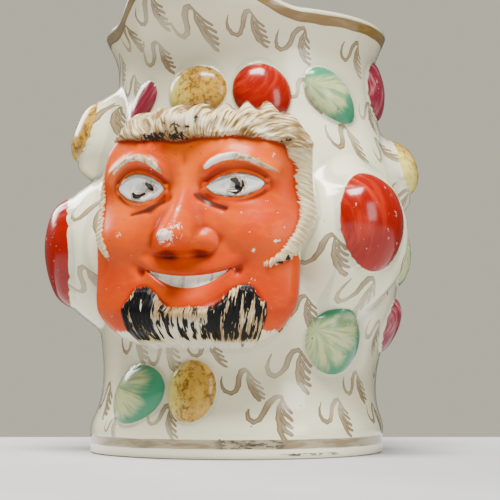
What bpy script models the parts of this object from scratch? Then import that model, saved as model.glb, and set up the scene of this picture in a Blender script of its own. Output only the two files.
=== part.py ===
"""Satyr pitcher: a press-moulded earthenware jug with a raised mask, raised fruit and a strap handle.

One hollow body, open at the top. The mask looks along -Y, the handle is at +Y, and the jug stands on
z = 0. Every surface point is given by its turn about the jug's axis, measured from the mask toward +X,
and by its height. The wall's radius there is a turned profile plus swellings, the mask and the fruit.
"""

import math

import bmesh
import bpy
import numpy as np
from mathutils import Vector

# Driving dimensions, in metres
RIM_HEIGHT = 0.140
FOOT_RADIUS = 0.0490
WAIST_RADIUS = 0.0459
BODY_RADIUS = 0.0520
NECK_RADIUS = 0.0440
RIM_RADIUS = 0.0479
FOOT_SHIFT_X = -0.0024
FOOT_SHIFT_Y = -0.0030
WALL = 0.0040
FLOOR_THICKNESS = 0.0055
EDGE_ROUND = 0.0014
SPOUT_RISE = 0.0130
SPOUT_REACH = 0.0110
MASK_SIZE = 0.0740
MASK_RADIUS = 0.0612
SIDE_SWELLING = 0.0094
FRUIT_SIZE = 0.0200
HANDLE_WIDTH = 0.0130
HANDLE_THICKNESS = 0.0078
HANDLE_REACH = 0.0360
HANDLE_SINK = 0.0012
HANDLE_ROOT = 0.0090
HANDLE_ROOT_FLARE = 0.30

# Heights as shares of the rim's height
CHIN = 0.246
NECK = 0.860
HANDLE_TOP = 0.905
HANDLE_LOW = 0.400

# Directions about the axis, in degrees from the mask toward +X
SPOUT_TURN = -3.0
SPOUT_HALF_ANGLE = 44.0
HANDLE_TURN = 180.0

# How finely the wall is laid out, and how many triangles it keeps
MASK_HALF_SPAN = 42.0
MASK_COLUMNS = 90
PLAIN_COLUMNS = 144
INNER_ROWS = 9
WALL_TRIANGLES = 8900
HANDLE_RINGS = 18
HANDLE_SIDES = 12

# Heights where the number of rows changes, as shares of the rim's height, with the rows below each
ROW_BANDS = ((0.060, 4), (0.240, 14), (0.790, 78), (1.000, 18))

# The turned profile: height as a share of the rim's height, and which radii it blends there
PROFILE = (
    (0.030, FOOT_RADIUS),
    (0.060, FOOT_RADIUS),
    (0.115, 0.25 * FOOT_RADIUS + 0.75 * WAIST_RADIUS),
    (0.180, WAIST_RADIUS),
    (0.250, 0.80 * WAIST_RADIUS + 0.20 * BODY_RADIUS),
    (0.330, 0.35 * WAIST_RADIUS + 0.65 * BODY_RADIUS),
    (0.450, BODY_RADIUS),
    (0.600, BODY_RADIUS),
    (0.700, 0.65 * BODY_RADIUS + 0.35 * NECK_RADIUS),
    (0.785, 0.15 * BODY_RADIUS + 0.85 * NECK_RADIUS),
    (NECK, NECK_RADIUS),
    (0.930, NECK_RADIUS),
    (1.000, RIM_RADIUS),
)

# Raised fruit: turn in degrees, height as a share of the rim's height, width and length as shares of
# FRUIT_SIZE, and lean in degrees
FRUIT = (
    (-1.8, 0.821, 1.00, 0.80, 0.0),
    (25.0, 0.814, 0.98, 0.90, -40.0),
    (-29.0, 0.806, 0.52, 0.80, -38.0),
    (56.0, 0.818, 1.14, 0.76, -36.0),
    (-61.5, 0.766, 1.05, 1.02, 25.0),
    (94.5, 0.861, 0.82, 1.00, 0.0),
    (58.0, 0.520, 1.32, 1.57, 5.0),
    (-60.5, 0.471, 1.34, 1.84, 0.0),
    (102.0, 0.684, 1.15, 0.90, 25.0),
    (100.5, 0.464, 0.80, 1.00, 0.0),
    (98.5, 0.300, 0.80, 0.90, 0.0),
    (55.7, 0.257, 1.15, 1.00, -30.0),
    (-24.5, 0.140, 1.15, 0.90, 20.0),
    (0.5, 0.148, 0.80, 0.97, 0.0),
    (-97.0, 0.843, 0.75, 0.90, 0.0),
    (-104.0, 0.671, 1.00, 1.15, -10.0),
    (-102.0, 0.443, 0.85, 1.00, 0.0),
    (-100.0, 0.271, 0.85, 0.85, 0.0),
    (135.0, 0.800, 0.95, 0.85, -20.0),
    (-135.0, 0.800, 0.95, 0.85, 20.0),
    (140.0, 0.543, 1.15, 1.35, 5.0),
    (-140.0, 0.529, 1.15, 1.35, -5.0),
    (135.0, 0.264, 1.00, 0.90, 20.0),
    (-138.0, 0.257, 1.00, 0.90, -20.0),
    (168.0, 0.171, 0.90, 0.80, 0.0),
)
FRUIT_PROUD = 0.24

# Swellings of the body under the fruit: turn, height as a share of the rim's height, half angle, half
# height as a share of the rim's height, share of SIDE_SWELLING
SWELLINGS = (
    (60.5, 0.493, 27.0, 0.193, 0.95),
    (-61.5, 0.471, 27.0, 0.193, 1.00),
    (104.0, 0.664, 19.0, 0.107, 0.45),
    (-104.0, 0.679, 20.0, 0.121, 0.45),
    (-62.0, 0.755, 20.0, 0.122, 0.82),
    (140.0, 0.529, 24.0, 0.179, 0.50),
    (-140.0, 0.529, 24.0, 0.179, 0.50),
)

# Colours and finish of the glaze
GLAZE_COLOUR = (0.80, 0.79, 0.73, 1.0)
GLAZE_ROUGHNESS = 0.18


def smooth_step(share):
    """Rises from 0 to 1 with no corner at either end."""
    share = np.clip(share, 0.0, 1.0)
    return share * share * (3.0 - 2.0 * share)


def dome(across, along, power):
    """A rounded cap of height 1 on the unit circle, steeper at its edge for a smaller power."""
    return np.clip(1.0 - across**2 - along**2, 0.0, 1.0) ** power


def mound(across, along):
    """A soft bump of height 1 with no edge."""
    return np.exp(-(across**2) - along**2)


def curve_through(points, value):
    """A smooth curve through the points, read at each value."""
    places = np.array([point[0] for point in points])
    heights = np.array([point[1] for point in points])
    slopes = np.gradient(heights, places)
    value = np.clip(value, places[0], places[-1])
    index = np.clip(np.searchsorted(places, value) - 1, 0, len(places) - 2)
    step = places[index + 1] - places[index]
    t = (value - places[index]) / step
    start = heights[index] * (1.0 + 2.0 * t) * (1.0 - t) ** 2 + slopes[index] * step * t * (1.0 - t) ** 2
    end = heights[index + 1] * (3.0 - 2.0 * t) * t**2 + slopes[index + 1] * step * (t - 1.0) * t**2
    return start + end


def turn_between(turn, centre):
    """The signed angle from one direction to another, in degrees."""
    return (turn - centre + 180.0) % 360.0 - 180.0


def rounded_box_distance(across, along, half_width, half_height, corner):
    """Distance outside a rectangle with round corners, negative inside."""
    over_x = np.abs(across) - half_width + corner
    over_y = np.abs(along) - half_height + corner
    outside = np.hypot(np.maximum(over_x, 0.0), np.maximum(over_y, 0.0))
    return outside + np.minimum(np.maximum(over_x, over_y), 0.0) - corner


def turned_profile(height):
    return curve_through(PROFILE, height / RIM_HEIGHT)


def swellings(turn, height):
    """The broad bulges that the body pushes out under its largest fruit."""
    total = np.zeros_like(height)
    for centre, middle, half_angle, half_height, share in SWELLINGS:
        across = turn_between(turn, centre) / half_angle
        along = (height / RIM_HEIGHT - middle) / half_height
        total = np.maximum(total, share * smooth_step(1.35 * dome(across, along, 1.0)))
    return total * SIDE_SWELLING


def fruit_relief(turn, height, radius):
    """Egg-shaped bosses, a quarter as proud as they are wide."""
    total = np.zeros_like(height)
    for centre, middle, width, length, lean in FRUIT:
        across = np.radians(turn_between(turn, centre)) * radius / FRUIT_SIZE
        along = (height - middle * RIM_HEIGHT) / FRUIT_SIZE
        turned = math.radians(lean)
        side = across * math.cos(turned) + along * math.sin(turned)
        rise = along * math.cos(turned) - across * math.sin(turned)
        cap = dome(2.0 * side / width, 2.0 * rise / length, 0.62)
        total = np.maximum(total, FRUIT_PROUD * min(width, length) * cap)
    return total * FRUIT_SIZE


def mask_places(turn, height):
    """Places on the mask as shares of its size: across from its midline, and up from its chin."""
    across = np.radians(turn_between(turn, 0.0)) * (MASK_RADIUS - WALL) / MASK_SIZE
    return across, (height - CHIN * RIM_HEIGHT) / MASK_SIZE


def mask_cover(across, up):
    """1 over the face and its hair, 0 on the body, with a rounded shoulder between."""
    crown = smooth_step((up - 0.60) / 0.30)
    fur = 0.030 * smooth_step((up - 0.36) / 0.20) * (1.0 - crown)
    middle = 0.012 + 0.068 * crown + fur
    half_width = 0.478 - 0.008 * crown + fur
    tufts = 0.016 * np.cos(across * 62.0) * smooth_step((up - 0.80) / 0.15)
    face = rounded_box_distance(across - middle, up + tufts - 0.50, half_width, 0.50, 0.22)
    return np.sqrt(1.0 - (1.0 - np.clip(-face / 0.075, 0.0, 1.0)) ** 2)


def ramp(value, start, end):
    """Rises smoothly from 0 where value is start to 1 where it is end."""
    return smooth_step((value - start) / (end - start))


def soft_maximum(first, second, blend):
    """The larger of two reliefs, with a fillet where they meet."""
    return 0.5 * (first + second + np.sqrt((first - second) ** 2 + blend**2) - blend)


def line(distance, width):
    """A soft rounded ridge along the places where distance is 0."""
    return np.exp(-((distance / width) ** 2))


def segment_distance(across, up, start, end):
    """Distance from a straight stroke between two places."""
    run_x = end[0] - start[0]
    run_y = end[1] - start[1]
    share = ((across - start[0]) * run_x + (up - start[1]) * run_y) / (run_x**2 + run_y**2)
    share = np.clip(share, 0.0, 1.0)
    return np.hypot(across - start[0] - share * run_x, up - start[1] - share * run_y)


def eye_relief(across, side, up):
    """A sunk socket with a bulging almond eye, its two lids and the bag below. The left eye is rounder."""
    half_width = np.where(across < 0.0, 0.104, 0.112)
    reach = (side - 0.197) / half_width
    rise = up - 0.650 - 0.006 * reach
    lid = np.where(across < 0.0, 0.052, 0.041) * np.clip(1.0 - reach**2, 0.0, 1.0) ** 0.9
    open_eye = ramp(lid - np.abs(rise), -0.004, 0.010)
    ball = 0.030 * dome(reach / 1.05, rise / 0.085, 0.5)
    lids = 0.017 * line(np.abs(rise) - lid - 0.009, 0.013) * ramp(1.25 - np.abs(reach), 0.0, 0.25)
    socket = -0.040 * mound((side - 0.165) / 0.135, (up - 0.652) / 0.070)
    bag = -0.008 * line(segment_distance(side, up, (0.060, 0.600), (0.150, 0.552)), 0.018)
    pouch = 0.010 * mound((side - 0.150) / 0.080, (up - 0.575) / 0.020)
    return socket + ball * open_eye + lids + bag + pouch


def brow_relief(side, up):
    """An arched brow from the root of the nose to the temple."""
    arch = 0.705 + 0.068 * np.cos(np.clip((side - 0.205) / 0.150, -1.0, 1.0) * math.pi / 2.0) ** 1.3
    ends = ramp(side, 0.050, 0.100) * ramp(side, 0.385, 0.330)
    return 0.018 * line(up - arch, 0.028) * ends + 0.020 * mound((side - 0.2) / 0.2, (up - 0.75) / 0.08)


def nose_relief(across, side, up):
    """A long straight nose that broadens to its tip, with a wing on each side."""
    slope = np.clip((0.690 - up) / (0.690 - 0.435), 0.0, 1.0)
    under = ramp(up, 0.360, 0.405)
    width = 0.056 + 0.020 * slope**1.5
    bridge = (0.036 + 0.114 * slope**1.25) * line(across - 0.020 + 0.030 * slope, width) * under
    bridge = bridge * ramp(up, 0.790, 0.670)
    tip = 0.040 * mound((across + 0.018) / 0.062, (up - 0.446) / 0.060) * under
    wing = 0.050 * dome((side - 0.074) / 0.066, (up - 0.424) / 0.060, 1.20)
    nostril = -0.024 * mound((side - 0.060) / 0.036, (up - 0.374) / 0.020)
    return soft_maximum(bridge + tip, wing, 0.034) + nostril


def mouth_relief(side, up):
    """A grin that shows the teeth, with its lips and the folds beside it."""
    top = 0.283 + 0.95 * side**2
    bottom = 0.232 + 2.72 * side**2
    gape = np.minimum(top - up, up - bottom)
    teeth = -0.017 * ramp(gape, -0.008, 0.005)
    corner = ramp(side, 0.235, 0.180)
    upper_lip = 0.007 * line(up - top - 0.024, 0.030) * corner
    lower_lip = 0.008 * line(up - bottom + 0.040, 0.040) * ramp(side, 0.215, 0.090)
    dimple = -0.018 * mound((side - 0.196) / 0.022, (up - 0.305) / 0.026)
    fold = -0.009 * line(segment_distance(side, up, (0.138, 0.430), (0.218, 0.335)), 0.030)
    hollow = -0.007 * line(up - bottom + 0.084, 0.024) * ramp(side, 0.180, 0.090)
    return teeth + upper_lip + lower_lip + dimple + fold + hollow


def cheek_relief(side, up):
    """Full cheeks over the grin, hollow temples and a heavy jaw."""
    cheek = 0.046 * mound((side - 0.285) / 0.120, (up - 0.440) / 0.110)
    jowl = 0.020 * mound((side - 0.320) / 0.120, (up - 0.230) / 0.120)
    temple = -0.014 * mound((side - 0.420) / 0.060, (up - 0.660) / 0.120)
    return cheek + jowl + temple


def beard_cover(side, up):
    """1 on the short beard, which rises in a point on each side of the mouth."""
    top = 0.153 + 0.090 * ramp(side, 0.070, 0.190) - 0.070 * ramp(side, 0.220, 0.280)
    edge = 0.290 - 0.9 * (up - 0.130) ** 2
    return ramp(top - up, 0.0, 0.022) * ramp(edge - side, 0.0, 0.022)


def hair_relief(across, side, up):
    """A fringe of upright locks over the hairline, with a knot in the middle."""
    dips = -0.011 * line(across + 0.004, 0.055) - 0.046 * ramp(across, 0.24, 0.47)
    hairline = 0.846 + dips + 0.010 * ramp(across, -0.10, -0.25)
    fringe = 0.030 * ramp(up - hairline, 0.0, 0.022)
    locks = 0.011 * np.sin(across * (52.0 - 14.0 * up) + 5.0 * up) * ramp(up - hairline, 0.01, 0.04)
    knot = 0.050 * dome((across - 0.004) / 0.115, (up - 0.925) / 0.085, 0.7)
    return fringe + locks * (1.0 - 0.6 * knot / 0.050) + knot


def mask_relief(across, up):
    """The carving of the face, in shares of the mask's size."""
    side = np.abs(across - 0.012)
    chin = 0.052 * mound((across - 0.020) / 0.210, (up - 0.115) / 0.085)
    frown = -0.006 * mound((across - 0.012) / 0.022, (up - 0.745) / 0.045)
    total = eye_relief(across, side, up) + brow_relief(side, up) + nose_relief(across, side, up)
    total = total + mouth_relief(np.abs(across - 0.024), up) + cheek_relief(side, up) + chin + frown
    return total + 0.020 * beard_cover(np.abs(across - 0.045), up) + hair_relief(across, side, up)


def mask_surface(up):
    """The mask's own radius at its midline, falling back at chin and crown."""
    crown = smooth_step((up - 0.80) / 0.22)
    jaw = smooth_step((0.16 - up) / 0.18)
    return MASK_RADIUS - 0.055 * MASK_SIZE * crown - 0.060 * MASK_SIZE * jaw


def spout_share(turn):
    """1 at the middle of the pouring lip, 0 past its ends."""
    across = np.clip(np.abs(turn_between(turn, SPOUT_TURN)) / SPOUT_HALF_ANGLE, 0.0, 1.0)
    return np.cos(across * math.pi / 2.0) ** 2


def rim_height(turn):
    return RIM_HEIGHT + SPOUT_RISE * spout_share(turn)


def spout_projection(turn, height):
    """How far the lip is pulled out, from nothing at the neck to its full reach at the rim."""
    neck = NECK * RIM_HEIGHT
    climb = np.clip((height - neck) / (rim_height(turn) - neck), 0.0, 1.0)
    return SPOUT_REACH * spout_share(turn) * climb**1.6


def outer_radius(turn, height):
    plain = turned_profile(height) + spout_projection(turn, height)
    swollen = plain + swellings(turn, height)
    across, up = mask_places(turn, height)
    cover = mask_cover(across, up)
    face = np.maximum(mask_surface(up), swollen) + MASK_SIZE * mask_relief(across, up)
    fruit = fruit_relief(turn, height, swollen) * (1.0 - cover)
    return swollen + (face - swollen) * cover + fruit


def inner_radius(turn, height):
    """The inside follows the broad form only, so the wall is thickest behind the carving."""
    plain = turned_profile(height) + spout_projection(turn, height) + 0.7 * swellings(turn, height)
    across, up = mask_places(turn, height)
    behind_mask = mound(across / 0.42, (up - 0.48) / 0.42)
    return plain - WALL + 0.6 * behind_mask * np.maximum(MASK_RADIUS - plain, 0.0)


def section_centre(height):
    """The foot sits a little off the axis of the rim."""
    share = 1.0 - smooth_step(height / (0.45 * RIM_HEIGHT))
    return FOOT_SHIFT_X * share, FOOT_SHIFT_Y * share


def place(turn, radius, height):
    """A point of the wall, from its turn in degrees, its radius and its height."""
    shift_x, shift_y = section_centre(height)
    angle = np.radians(turn)
    return np.stack(
        (shift_x + radius * np.sin(angle), shift_y - radius * np.cos(angle), height),
        axis=-1,
    )


def column_turns():
    """The turns of the columns: close together over the mask, wider round the rest."""
    front = np.linspace(-MASK_HALF_SPAN, MASK_HALF_SPAN, MASK_COLUMNS, endpoint=False)
    back = np.linspace(MASK_HALF_SPAN, 360.0 - MASK_HALF_SPAN, PLAIN_COLUMNS, endpoint=False)
    return np.concatenate((front, back))


def row_shares():
    """Heights of the rows as shares of the rim's height, up from the rounded foot."""
    shares = []
    low = EDGE_ROUND / RIM_HEIGHT
    for high, rows in ROW_BANDS:
        shares.extend(np.linspace(low, high, rows, endpoint=False))
        low = high
    return np.array(shares + [1.0])


def row_heights(share, turns):
    """Level rows up to the neck, then rows that climb with the pouring lip."""
    level = np.full_like(turns, share * RIM_HEIGHT)
    climb = (share - NECK) / (1.0 - NECK)
    lifted = NECK * RIM_HEIGHT + climb * (rim_height(turns) - NECK * RIM_HEIGHT)
    return np.where(share > NECK, lifted, level)


def wall_rings():
    """All rings of the jug's skin, from the underside up the outside, over the rim and down inside."""
    turns = column_turns()
    zero = np.zeros_like(turns)
    foot = outer_radius(turns, zero + EDGE_ROUND)
    rings = [place(turns, foot - EDGE_ROUND, zero)]
    for share in row_shares():
        heights = row_heights(share, turns)
        rings.append(place(turns, outer_radius(turns, heights), heights))
    top = rim_height(turns)
    lip = place(turns, outer_radius(turns, top) - 0.35 * WALL, top + EDGE_ROUND)
    inner_lip = place(turns, inner_radius(turns, top) + 0.20 * WALL, top + 0.8 * EDGE_ROUND)
    rings.extend((lip, inner_lip))
    floor_round = 2.0 * EDGE_ROUND
    for share in np.linspace(1.0, 0.0, INNER_ROWS):
        heights = FLOOR_THICKNESS + floor_round + share * (top - FLOOR_THICKNESS - floor_round)
        rings.append(place(turns, inner_radius(turns, heights), heights))
    bottom = zero + FLOOR_THICKNESS
    rings.append(place(turns, inner_radius(turns, bottom) - floor_round, bottom))
    return rings


def build_wall():
    """The hollow body as one closed skin, laid out as an even grid."""
    shape = bmesh.new()
    rings = [[shape.verts.new(point) for point in ring] for ring in wall_rings()]
    count = len(rings[0])
    for low, high in zip(rings, rings[1:]):
        for i in range(count):
            j = (i + 1) % count
            shape.faces.new((low[i], low[j], high[j], high[i]))
    shape.faces.new(reversed(rings[0]))
    shape.faces.new(rings[-1])
    bmesh.ops.recalc_face_normals(shape, faces=shape.faces)
    mesh = bpy.data.meshes.new("pitcher")
    shape.to_mesh(mesh)
    shape.free()
    return mesh


def thinned(mesh, triangles):
    """The same skin with most of its triangles where it curves most, and its underside still flat."""
    holder = bpy.data.objects.new("fine_wall", mesh)
    bpy.context.scene.collection.objects.link(holder)
    mesh.calc_loop_triangles()
    thin = holder.modifiers.new("thin", "DECIMATE")
    thin.ratio = triangles / len(mesh.loop_triangles)
    graph = bpy.context.evaluated_depsgraph_get()
    result = bpy.data.meshes.new_from_object(holder.evaluated_get(graph))
    result.name = "pitcher"
    bpy.data.objects.remove(holder, do_unlink=True)
    for vertex in result.vertices:
        if vertex.co.z < 0.2 * EDGE_ROUND:
            vertex.co.z = 0.0
    return result


def handle_path():
    """Points down the middle of the strap, in the plane of the spout, as (radius, height)."""
    top = HANDLE_TOP * RIM_HEIGHT
    low = HANDLE_LOW * RIM_HEIGHT
    wall_top = float(outer_radius(np.array([HANDLE_TURN]), np.array([top]))[0])
    wall_low = float(outer_radius(np.array([HANDLE_TURN]), np.array([low]))[0])
    start = Vector((wall_top - HANDLE_SINK, top))
    end = Vector((wall_low - HANDLE_SINK, low))
    out = wall_top + HANDLE_REACH
    bow = Vector((out, top - 0.30 * (top - low)))
    upper = (start, start + Vector((0.45 * HANDLE_REACH, 0.10 * HANDLE_REACH)))
    upper = upper + (bow + Vector((0.0, 0.62 * HANDLE_REACH)), bow)
    lower = (bow, bow - Vector((0.0, 0.80 * HANDLE_REACH)))
    lower = lower + (end + Vector((0.40 * HANDLE_REACH, 0.14 * HANDLE_REACH)), end)
    points = []
    for curve in (upper, lower):
        for i in range(HANDLE_RINGS // 2):
            t = i / (HANDLE_RINGS // 2)
            a, b, c, d = curve
            points.append(a * (1 - t) ** 3 + b * 3 * t * (1 - t) ** 2 + c * 3 * t**2 * (1 - t) + d * t**3)
    return points + [end]


def build_handle():
    """An oval strap swept along its path, closed at both ends."""
    path = handle_path()
    shape = bmesh.new()
    rings = []
    for index, point in enumerate(path):
        before = path[max(index - 1, 0)]
        after = path[min(index + 1, len(path) - 1)]
        along = (after - before).normalized()
        outward = Vector((along.y, -along.x))
        nearest_end = min((point - path[0]).length, (point - path[-1]).length)
        flare = 1.0 + HANDLE_ROOT_FLARE * math.exp(-((nearest_end / HANDLE_ROOT) ** 2))
        ring = []
        for side in range(HANDLE_SIDES):
            angle = 2.0 * math.pi * side / HANDLE_SIDES
            spot = point + outward * (0.5 * HANDLE_THICKNESS * math.cos(angle))
            across = 0.5 * HANDLE_WIDTH * flare * math.sin(angle)
            ring.append(shape.verts.new((across, spot.x, spot.y)))
        rings.append(ring)
    for low, high in zip(rings, rings[1:]):
        for i in range(HANDLE_SIDES):
            j = (i + 1) % HANDLE_SIDES
            shape.faces.new((low[i], low[j], high[j], high[i]))
    shape.faces.new(reversed(rings[0]))
    shape.faces.new(rings[-1])
    bmesh.ops.recalc_face_normals(shape, faces=shape.faces)
    mesh = bpy.data.meshes.new("handle_strap")
    shape.to_mesh(mesh)
    shape.free()
    return mesh


def glaze_material():
    material = bpy.data.materials.new("glazed_earthenware")
    material.use_nodes = True
    shader = material.node_tree.nodes["Principled BSDF"]
    shader.inputs["Base Color"].default_value = GLAZE_COLOUR
    shader.inputs["Roughness"].default_value = GLAZE_ROUGHNESS
    shader.inputs["Metallic"].default_value = 0.0
    material.diffuse_color = GLAZE_COLOUR
    return material


def add_object(name, mesh, material):
    piece = bpy.data.objects.new(name, mesh)
    bpy.context.scene.collection.objects.link(piece)
    mesh.materials.append(material)
    mesh.shade_smooth()
    mesh.set_sharp_from_angle(angle=math.radians(50.0))
    return piece


def main():
    for old in list(bpy.data.objects):
        bpy.data.objects.remove(old, do_unlink=True)
    glaze = glaze_material()
    pitcher = add_object("pitcher", thinned(build_wall(), WALL_TRIANGLES), glaze)
    strap = add_object("handle_strap", build_handle(), glaze)
    strap.hide_render = True
    strap.display_type = "WIRE"
    joint = pitcher.modifiers.new("luted handle", "BOOLEAN")
    joint.operation = "UNION"
    joint.solver = "EXACT"
    joint.object = strap


main()
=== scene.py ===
import math
from types import SimpleNamespace

import bpy
import numpy as np
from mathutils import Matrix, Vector


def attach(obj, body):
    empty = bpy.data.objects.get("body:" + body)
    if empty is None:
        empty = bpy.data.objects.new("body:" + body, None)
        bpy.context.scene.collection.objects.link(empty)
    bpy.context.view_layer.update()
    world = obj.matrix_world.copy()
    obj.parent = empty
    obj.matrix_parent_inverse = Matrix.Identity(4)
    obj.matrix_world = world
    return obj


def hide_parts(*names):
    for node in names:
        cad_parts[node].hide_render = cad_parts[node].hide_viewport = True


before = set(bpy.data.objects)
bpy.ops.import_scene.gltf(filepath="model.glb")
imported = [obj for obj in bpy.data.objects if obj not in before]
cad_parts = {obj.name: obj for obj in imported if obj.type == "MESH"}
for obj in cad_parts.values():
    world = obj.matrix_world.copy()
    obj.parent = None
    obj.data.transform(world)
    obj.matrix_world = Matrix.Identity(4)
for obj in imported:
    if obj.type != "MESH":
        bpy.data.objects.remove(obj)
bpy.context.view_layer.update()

# The jug's own sizes, in metres, as its solid has them
RIM_HEIGHT = 0.140
FOOT_RADIUS = 0.0490
WAIST_RADIUS = 0.0459
BODY_RADIUS = 0.0520
NECK_RADIUS = 0.0440
RIM_RADIUS = 0.0479
FOOT_SHIFT_X = -0.0024
FOOT_SHIFT_Y = -0.0030
WALL = 0.0040
FLOOR_THICKNESS = 0.0055
EDGE_ROUND = 0.0014
SPOUT_RISE = 0.0130
SPOUT_REACH = 0.0110
MASK_SIZE = 0.0740
MASK_RADIUS = 0.0612
SIDE_SWELLING = 0.0094
FRUIT_SIZE = 0.0200
FRUIT_PROUD = 0.24
HANDLE_WIDTH = 0.0130
HANDLE_THICKNESS = 0.0078
HANDLE_REACH = 0.0360
HANDLE_SINK = 0.0012
HANDLE_ROOT = 0.0090
HANDLE_ROOT_FLARE = 0.30
CHIN = 0.246
NECK = 0.860
HANDLE_TOP = 0.905
HANDLE_LOW = 0.400
SPOUT_TURN = -3.0
SPOUT_HALF_ANGLE = 44.0

PROFILE = (
    (0.030, FOOT_RADIUS),
    (0.060, FOOT_RADIUS),
    (0.115, 0.25 * FOOT_RADIUS + 0.75 * WAIST_RADIUS),
    (0.180, WAIST_RADIUS),
    (0.250, 0.80 * WAIST_RADIUS + 0.20 * BODY_RADIUS),
    (0.330, 0.35 * WAIST_RADIUS + 0.65 * BODY_RADIUS),
    (0.450, BODY_RADIUS),
    (0.600, BODY_RADIUS),
    (0.700, 0.65 * BODY_RADIUS + 0.35 * NECK_RADIUS),
    (0.785, 0.15 * BODY_RADIUS + 0.85 * NECK_RADIUS),
    (NECK, NECK_RADIUS),
    (0.930, NECK_RADIUS),
    (1.000, RIM_RADIUS),
)

# Swellings of the body: turn, height share, half angle, half height share, share of SIDE_SWELLING
SWELLINGS = (
    (60.5, 0.493, 27.0, 0.193, 0.95),
    (-61.5, 0.471, 27.0, 0.193, 1.00),
    (104.0, 0.664, 19.0, 0.107, 0.45),
    (-104.0, 0.679, 20.0, 0.121, 0.45),
    (-62.0, 0.755, 20.0, 0.122, 0.82),
    (140.0, 0.529, 24.0, 0.179, 0.50),
    (-140.0, 0.529, 24.0, 0.179, 0.50),
)

# The wrapped paper that all painting is laid out on: millimetres round the jug at this radius, and up
WRAP_RADIUS = 52.0


def from_screen(red, green, blue):
    """A colour as the eye reads it from a screen, 0 to 255, as the linear colour that a shader takes."""
    shares = (red / 255.0, green / 255.0, blue / 255.0)
    linear = [s / 12.92 if s <= 0.04045 else ((s + 0.055) / 1.055) ** 2.4 for s in shares]
    return (*linear, 1.0)


RED = (from_screen(140, 14, 2), from_screen(182, 44, 14))
MAGENTA = (from_screen(122, 34, 50), from_screen(176, 104, 110))
GREEN = (from_screen(58, 134, 98), from_screen(184, 192, 138))
OCHRE = (from_screen(182, 140, 56), from_screen(216, 202, 104))
STREAKED, RIBBED, MOTTLED = 1.0, 2.0, 3.0

# Raised fruit: turn, height share, width and length in FRUIT_SIZEs, lean, colours, kind of brushwork
FRUIT = (
    (-1.8, 0.821, 1.00, 0.80, 0.0, OCHRE, MOTTLED),
    (25.0, 0.814, 0.98, 0.90, -40.0, RED, STREAKED),
    (-29.0, 0.806, 0.52, 0.80, -38.0, MAGENTA, STREAKED),
    (56.0, 0.818, 1.14, 0.76, -36.0, GREEN, RIBBED),
    (-61.5, 0.766, 1.05, 1.02, 25.0, OCHRE, MOTTLED),
    (94.5, 0.861, 0.82, 1.00, 0.0, MAGENTA, STREAKED),
    (58.0, 0.520, 1.32, 1.57, 5.0, RED, STREAKED),
    (-60.5, 0.471, 1.34, 1.84, 0.0, RED, STREAKED),
    (102.0, 0.684, 1.15, 0.90, 25.0, OCHRE, MOTTLED),
    (100.5, 0.464, 0.80, 1.00, 0.0, GREEN, RIBBED),
    (98.5, 0.300, 0.80, 0.90, 0.0, MAGENTA, STREAKED),
    (55.7, 0.257, 1.15, 1.00, -30.0, GREEN, RIBBED),
    (-24.5, 0.140, 1.15, 0.90, 20.0, GREEN, RIBBED),
    (0.5, 0.148, 0.80, 0.97, 0.0, OCHRE, MOTTLED),
    (-97.0, 0.843, 0.75, 0.90, 0.0, RED, STREAKED),
    (-104.0, 0.671, 1.00, 1.15, -10.0, GREEN, RIBBED),
    (-102.0, 0.443, 0.85, 1.00, 0.0, MAGENTA, STREAKED),
    (-100.0, 0.271, 0.85, 0.85, 0.0, OCHRE, MOTTLED),
    (135.0, 0.800, 0.95, 0.85, -20.0, GREEN, RIBBED),
    (-135.0, 0.800, 0.95, 0.85, 20.0, OCHRE, MOTTLED),
    (140.0, 0.543, 1.15, 1.35, 5.0, RED, STREAKED),
    (-140.0, 0.529, 1.15, 1.35, -5.0, RED, STREAKED),
    (135.0, 0.264, 1.00, 0.90, 20.0, OCHRE, MOTTLED),
    (-138.0, 0.257, 1.00, 0.90, -20.0, GREEN, RIBBED),
    (168.0, 0.171, 0.90, 0.80, 0.0, MAGENTA, STREAKED),
)

# Lustre sprigs on the side that the photograph shows: turn, height in mm, size, lean in degrees
FRONT_SPRIGS = (
    (-2.2, 133.5, 0.98, 0.0), (18.8, 133.0, 0.86, 4.0), (40.2, 129.5, 0.88, 2.0),
    (-16.5, 139.0, 0.86, 8.0), (-21.5, 126.5, 0.84, 2.0), (-36.2, 133.5, 0.86, 4.0),
    (-54.5, 127.0, 0.88, 0.0), (-39.0, 118.5, 0.78, 0.0), (70.2, 128.5, 0.82, -4.0),
    (41.0, 113.8, 0.80, -4.0), (58.8, 98.8, 1.02, -2.0), (82.5, 110.3, 0.80, 0.0),
    (84.5, 98.0, 0.86, 22.0), (92.2, 83.0, 0.80, -25.0), (-49.5, 108.8, 0.98, -4.0),
    (-42.8, 76.5, 0.90, -6.0), (-44.0, 54.5, 0.90, 6.0), (-26.5, 34.3, 0.90, 4.0),
    (-11.8, 31.0, 0.84, 8.0), (5.0, 32.8, 0.74, 6.0), (19.5, 21.5, 0.90, 6.0), (39.2, 26.8, 1.06, 0.0),
    (32.5, 12.6, 1.06, -4.0), (59.5, 12.4, 0.90, 0.0), (72.0, 21.0, 0.86, 4.0), (97.0, 25.8, 0.86, -8.0),
    (87.8, 11.5, 0.80, 0.0), (38.8, 44.5, 0.86, 0.0), (43.5, 62.0, 0.96, 8.0), (57.5, 49.4, 0.98, -4.0),
    (80.0, 38.0, 0.82, -12.0), (-48.8, 16.8, 0.96, 4.0), (-10.5, 11.2, 0.82, -8.0),
    (80.0, 58.5, 0.86, -10.0), (81.5, 78.0, 0.80, 0.0), (-36.0, 8.6, 0.50, 0.0),
)
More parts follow.
